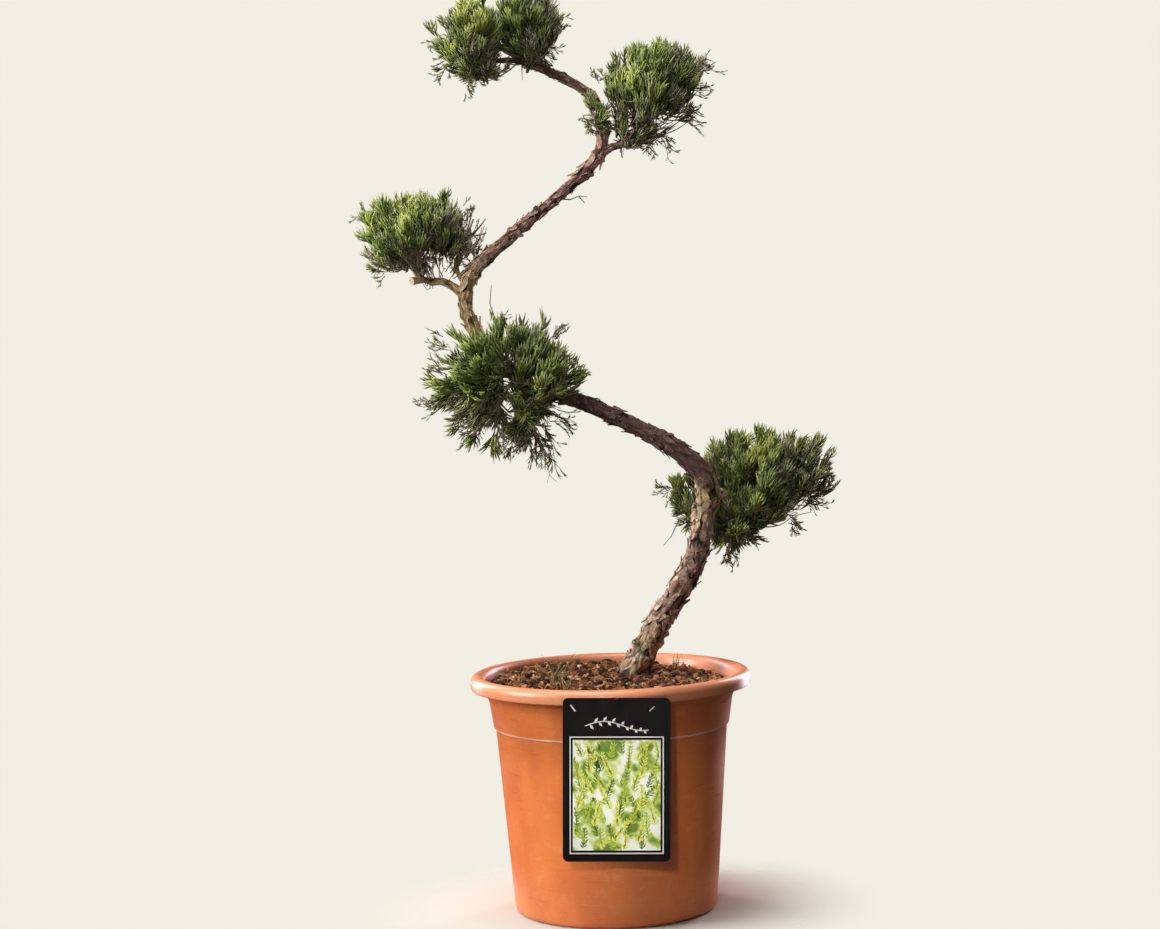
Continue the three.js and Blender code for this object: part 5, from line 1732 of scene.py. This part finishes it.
def picture_leaves():
    """The leaves of the picture's sprigs, dark ones first."""
    rng = np.random.default_rng(SEEDS.leaf)
    wide, high = CARD.picture
    half, top = wide / 2 - SPRIGS.margin, high / 2 - SPRIGS.margin
    leaves = {"leaf_dark": [], "leaf_mid": [], "leaf_light": []}
    tones = list(leaves.values())
    for row in range(SPRIGS.number):
        right, up = (row * spread % 1.0 for spread in SPRIGS.spread)
        x, z = wide * (right - 0.5), high * (1.05 * up - 0.68)
        heading = math.radians(90 + rng.uniform(-40, 40))
        for step in range(SPRIGS.steps):
            x, z = x + SPRIGS.step * math.cos(heading), z + SPRIGS.step * math.sin(heading)
            heading += rng.uniform(-0.12, 0.12)
            for turn in (-0.7, 0.1, 0.75):
                long = rng.uniform(4.5, 8) * (1 - 0.05 * step)
                leaf = leaf_outline(x, z, heading + turn * rng.uniform(0.7, 1.2), long, SPRIGS.leaf)
                if all(abs(a) < half and abs(b) < top for a, b in leaf):
                    tones[row * len(tones) // SPRIGS.number].append([(a, b + CARD.middle) for a, b in leaf])
    return leaves


# ---- Stage ----


def studio_world(settings):
    """A pale backdrop for the camera, and a faint even light for all else."""
    world = bpy.data.worlds.new("studio")
    world.use_nodes = True
    tree = world.node_tree
    tree.nodes.clear()
    seen = add(tree, "ShaderNodeBackground", {"Color": settings.background, "Strength": 1.0})
    even = add(tree, "ShaderNodeBackground", {"Color": settings.white, "Strength": settings.ambient})
    path = add(tree, "ShaderNodeLightPath")["Is Camera Ray"]
    mixed = add(tree, "ShaderNodeMixShader", {0: path, 1: even[0], 2: seen[0]})
    add(tree, "ShaderNodeOutputWorld", {"Surface": mixed[0]})
    return world


def floor_material(settings):
    """Matt painted board that fades out round the pot."""
    material, tree = blank_material("matt_floor")
    place_at = add(tree, "ShaderNodeTexCoord")["Object"]
    away = add(tree, "ShaderNodeVectorMath", {0: place_at}, operation="LENGTH")["Value"]
    share = span(tree, away, FLOOR.solid * MM, FLOOR.gone * MM, kind="SMOOTHSTEP")
    matt = add(tree, "ShaderNodeBsdfDiffuse", {"Color": settings.floor})
    clear = add(tree, "ShaderNodeBsdfTransparent")
    mixed = add(tree, "ShaderNodeMixShader", {0: share, 1: matt[0], 2: clear[0]})
    add(tree, "ShaderNodeOutputMaterial", {"Surface": mixed[0]})
    return material


def lamp(name, kind, at, aim, power, tint, **shape):
    """A light at a place that shines on another one (mm)."""
    light = bpy.data.lights.new(name, kind)
    light.energy, light.color = power, tint[:3]
    for key, value in shape.items():
        setattr(light, key, value)
    made = linked(name, light)
    made.location = Vector(at) * MM
    made.rotation_euler = (Vector(at) - Vector(aim)).to_track_quat("Z", "Y").to_euler()


def photo_camera():
    """The camera that the photo was taken with."""
    data = bpy.data.cameras.new("camera")
    data.sensor_fit, data.sensor_width, data.clip_end = "HORIZONTAL", CAMERA.sensor, 50
    data.lens = CAMERA.focal / CAMERA.width * CAMERA.sensor
    camera = linked("camera", data)
    pitch = Matrix.Rotation(math.radians(90 - CAMERA.down), 4, "X")
    roll = Matrix.Rotation(math.radians(CAMERA.roll), 4, "Z")
    camera.matrix_world = Matrix.Translation(Vector(CAMERA.at) * MM) @ pitch @ roll
    return camera


# ---- Operators ----


class JUNIPER_OT_stage(bpy.types.Operator):
    """Set up the floor, the lights and the camera"""

    bl_idname = "juniper.stage"
    bl_label = "Stage"

    def execute(self, context):
        settings = context.scene.juniper_stage
        context.scene.view_settings.view_transform = "Standard"
        context.scene.world = studio_world(settings)
        corners = [(x * FLOOR.half, y * FLOOR.half, 0) for x, y in ((-1, -1), (1, -1), (1, 1), (-1, 1))]
        mesh_object("floor", corners, [(0, 1, 2, 3)], floor_material(settings), smooth=False)
        for name, at, aim, (wide, high), share, tint in SOFT_BOXES:
            power, tone = getattr(settings, name.split("_")[0]) * share, getattr(settings, tint)
            lamp(name, "AREA", at, (0, 0, aim), power, tone, shape="RECTANGLE", size=wide, size_y=high)
        for name, at, aim, degrees, edge, soft in SPOTS:
            power, shape = getattr(settings, name.split("_")[0]), {"spot_blend": edge, "shadow_soft_size": soft}
            lamp(name, "SPOT", at, aim, power, settings.white, spot_size=math.radians(degrees), **shape)
        context.scene.camera = photo_camera()
        return {"FINISHED"}


class JUNIPER_OT_pot(bpy.types.Operator):
    """Turn the pot with its rolled rim, collar and drain holes"""

    bl_idname = "juniper.pot"
    bl_label = "Pot"

    def execute(self, context):
        settings = context.scene.juniper_pot
        outline = pot_outline()
        points = [point for r, z in outline for point in circle(settings.facets, r, z)]
        faces = tube_faces(len(outline), settings.facets)
        piece = mesh_object("pot_shell", points, faces, pot_material(settings), crease=38)
        drill(piece, context)
        place(piece, ["pot"], "terracotta_coloured_plastic")
        return {"FINISHED"}


class JUNIPER_OT_mix(bpy.types.Operator):
    """Fill the pot with potting mix, strewn with chips, fibres and a few blades"""

    bl_idname = "juniper.mix"
    bl_label = "Potting mix"

    def execute(self, context):
        settings = context.scene.juniper_mix
        mix_bed(settings)
        strew_chips(settings)
        fibres(settings)
        return {"FINISHED"}


class JUNIPER_OT_bark(bpy.types.Operator):
    """Give the trunk and the boughs their bark"""

    bl_idname = "juniper.bark"
    bl_label = "Bark"

    def execute(self, context):
        settings = context.scene.juniper_bark
        material, line = bark_material(settings), flared_line()
        trunk_bark(settings, line, material)
        bough_bark(settings, material)
        cut_stub(settings)
        loose_flakes(settings, line)
        return {"FINISHED"}


class JUNIPER_OT_foliage(bpy.types.Operator):
    """Grow the twigs and sprays of every mass"""

    bl_idname = "juniper.foliage"
    bl_label = "Foliage"

    def execute(self, context):
        settings = context.scene.juniper_foliage
        nodes = ["foliage_" + mass.name for mass in MASSES]
        wood, sprays, shades = grow_all(settings.length / MM)
        material = twig_material(settings)
        twigs = run_tree("twigs", line_object(wood), twigs_tree(), Sides=TWIG_SIDES, Material=material)
        place(twigs, nodes, "bark")
        tree = turned_tree(settings.variants)
        ratio = settings.thickness / (settings.length * 0.8)
        shapes = kit("sprays", spray_shapes(settings.variants, settings.cords, ratio))
        most = TRIANGLES_A_PIECE // (TRIANGLES_A_CORD * settings.cords)
        for shade, name in enumerate(SHADES):
            material = spray_material(name, getattr(settings, name))
            rows = np.flatnonzero(shades == shade)
            parts = max(1, math.ceil(len(rows) / most))
            for part, some in enumerate(np.array_split(rows, parts)):
                fields = {key: sprays[key][some] for key in ("facing", "bend")}
                fields["size"] = sprays["long"][some] / (settings.length / MM)
                values = {"Shapes": shapes, "Length": settings.length, "Sway": settings.sway}
                values |= {"Seed": shade * 10 + part, "Material": material}
                label = f"sprays_{name}" + (f"_{part + 1}" if parts > 1 else "")
                piece = run_tree(label, source_object(sprays["root"][some], fields), tree, **values)
                place(piece, nodes, "juniper_foliage")
        drop_kit(shapes)
        return {"FINISHED"}


class JUNIPER_OT_card(bpy.types.Operator):
    """Print the card: a thin line round a picture of leafy sprigs"""

    bl_idname = "juniper.card"
    bl_label = "Picture card"

    def execute(self, context):
        settings = context.scene.juniper_card
        for name, rough in (("picture_card", settings.card_gloss), ("card_peg", settings.peg_gloss)):
            mesh = frame["nodes"][name].data
            mesh.materials.clear()
            mesh.materials.append(card_material("laminated_" + name, settings.ink, rough))
        x, z = (side / 2 for side in CARD.picture)
        prints = [
            ("line", card_bars(), 0.0, CARD.ink, card_material("printed_line", settings.line)),
            ("picture", [rectangle(-x, x, -z, z)], 0.0, CARD.ground, picture_material(settings)),
            ("sprig", sprig_strokes(), 0.0, CARD.ink, card_material("printed_sprig", settings.line)),
        ]
        for level, (name, outlines) in enumerate(picture_leaves().items()):
            ink = card_material("printed_" + name, getattr(settings, name))
            prints.append((name, outlines, CARD.ground + CARD.layer * level, CARD.layer, ink))
        for name, outlines, lift, thickness, ink in prints:
            points, faces = plate(outlines, lift, thickness)
            place(mesh_object("card_" + name, points, faces, ink, smooth=False), [], "printed_plastic_card")
        return {"FINISHED"}


OPERATORS = (
    JUNIPER_OT_stage,
    JUNIPER_OT_pot,
    JUNIPER_OT_mix,
    JUNIPER_OT_bark,
    JUNIPER_OT_foliage,
    JUNIPER_OT_card,
)


class JUNIPER_PT_sidebar(bpy.types.Panel):
    """The juniper's pieces and their sizes and colours"""

    bl_idname = "JUNIPER_PT_sidebar"
    bl_label = "Potted juniper"
    bl_space_type = "VIEW_3D"
    bl_region_type = "UI"
    bl_category = "Juniper"

    def draw(self, context):
        for operator in OPERATORS:
            self.layout.operator(operator.bl_idname)
        for name, group in GROUPS.items():
            box = self.layout.box()
            for key in group.__annotations__:
                box.prop(getattr(context.scene, name), key)


def register():
    """Registers the classes and puts the settings on the scene."""
    for kind in (*GROUPS.values(), *OPERATORS, JUNIPER_PT_sidebar):
        bpy.utils.register_class(kind)
    for name, group in GROUPS.items():
        setattr(bpy.types.Scene, name, PointerProperty(type=group))


def unregister():
    """Takes the settings and the classes away again."""
    for name in GROUPS:
        delattr(bpy.types.Scene, name)
    for kind in reversed((*GROUPS.values(), *OPERATORS, JUNIPER_PT_sidebar)):
        bpy.utils.unregister_class(kind)


def main():
    """Builds every piece."""
    register()
    bpy.ops.juniper.stage()
    bpy.ops.juniper.pot()
    bpy.ops.juniper.mix()
    bpy.ops.juniper.bark()
    bpy.ops.juniper.foliage()
    bpy.ops.juniper.card()


if __name__ == "__main__":
    main()
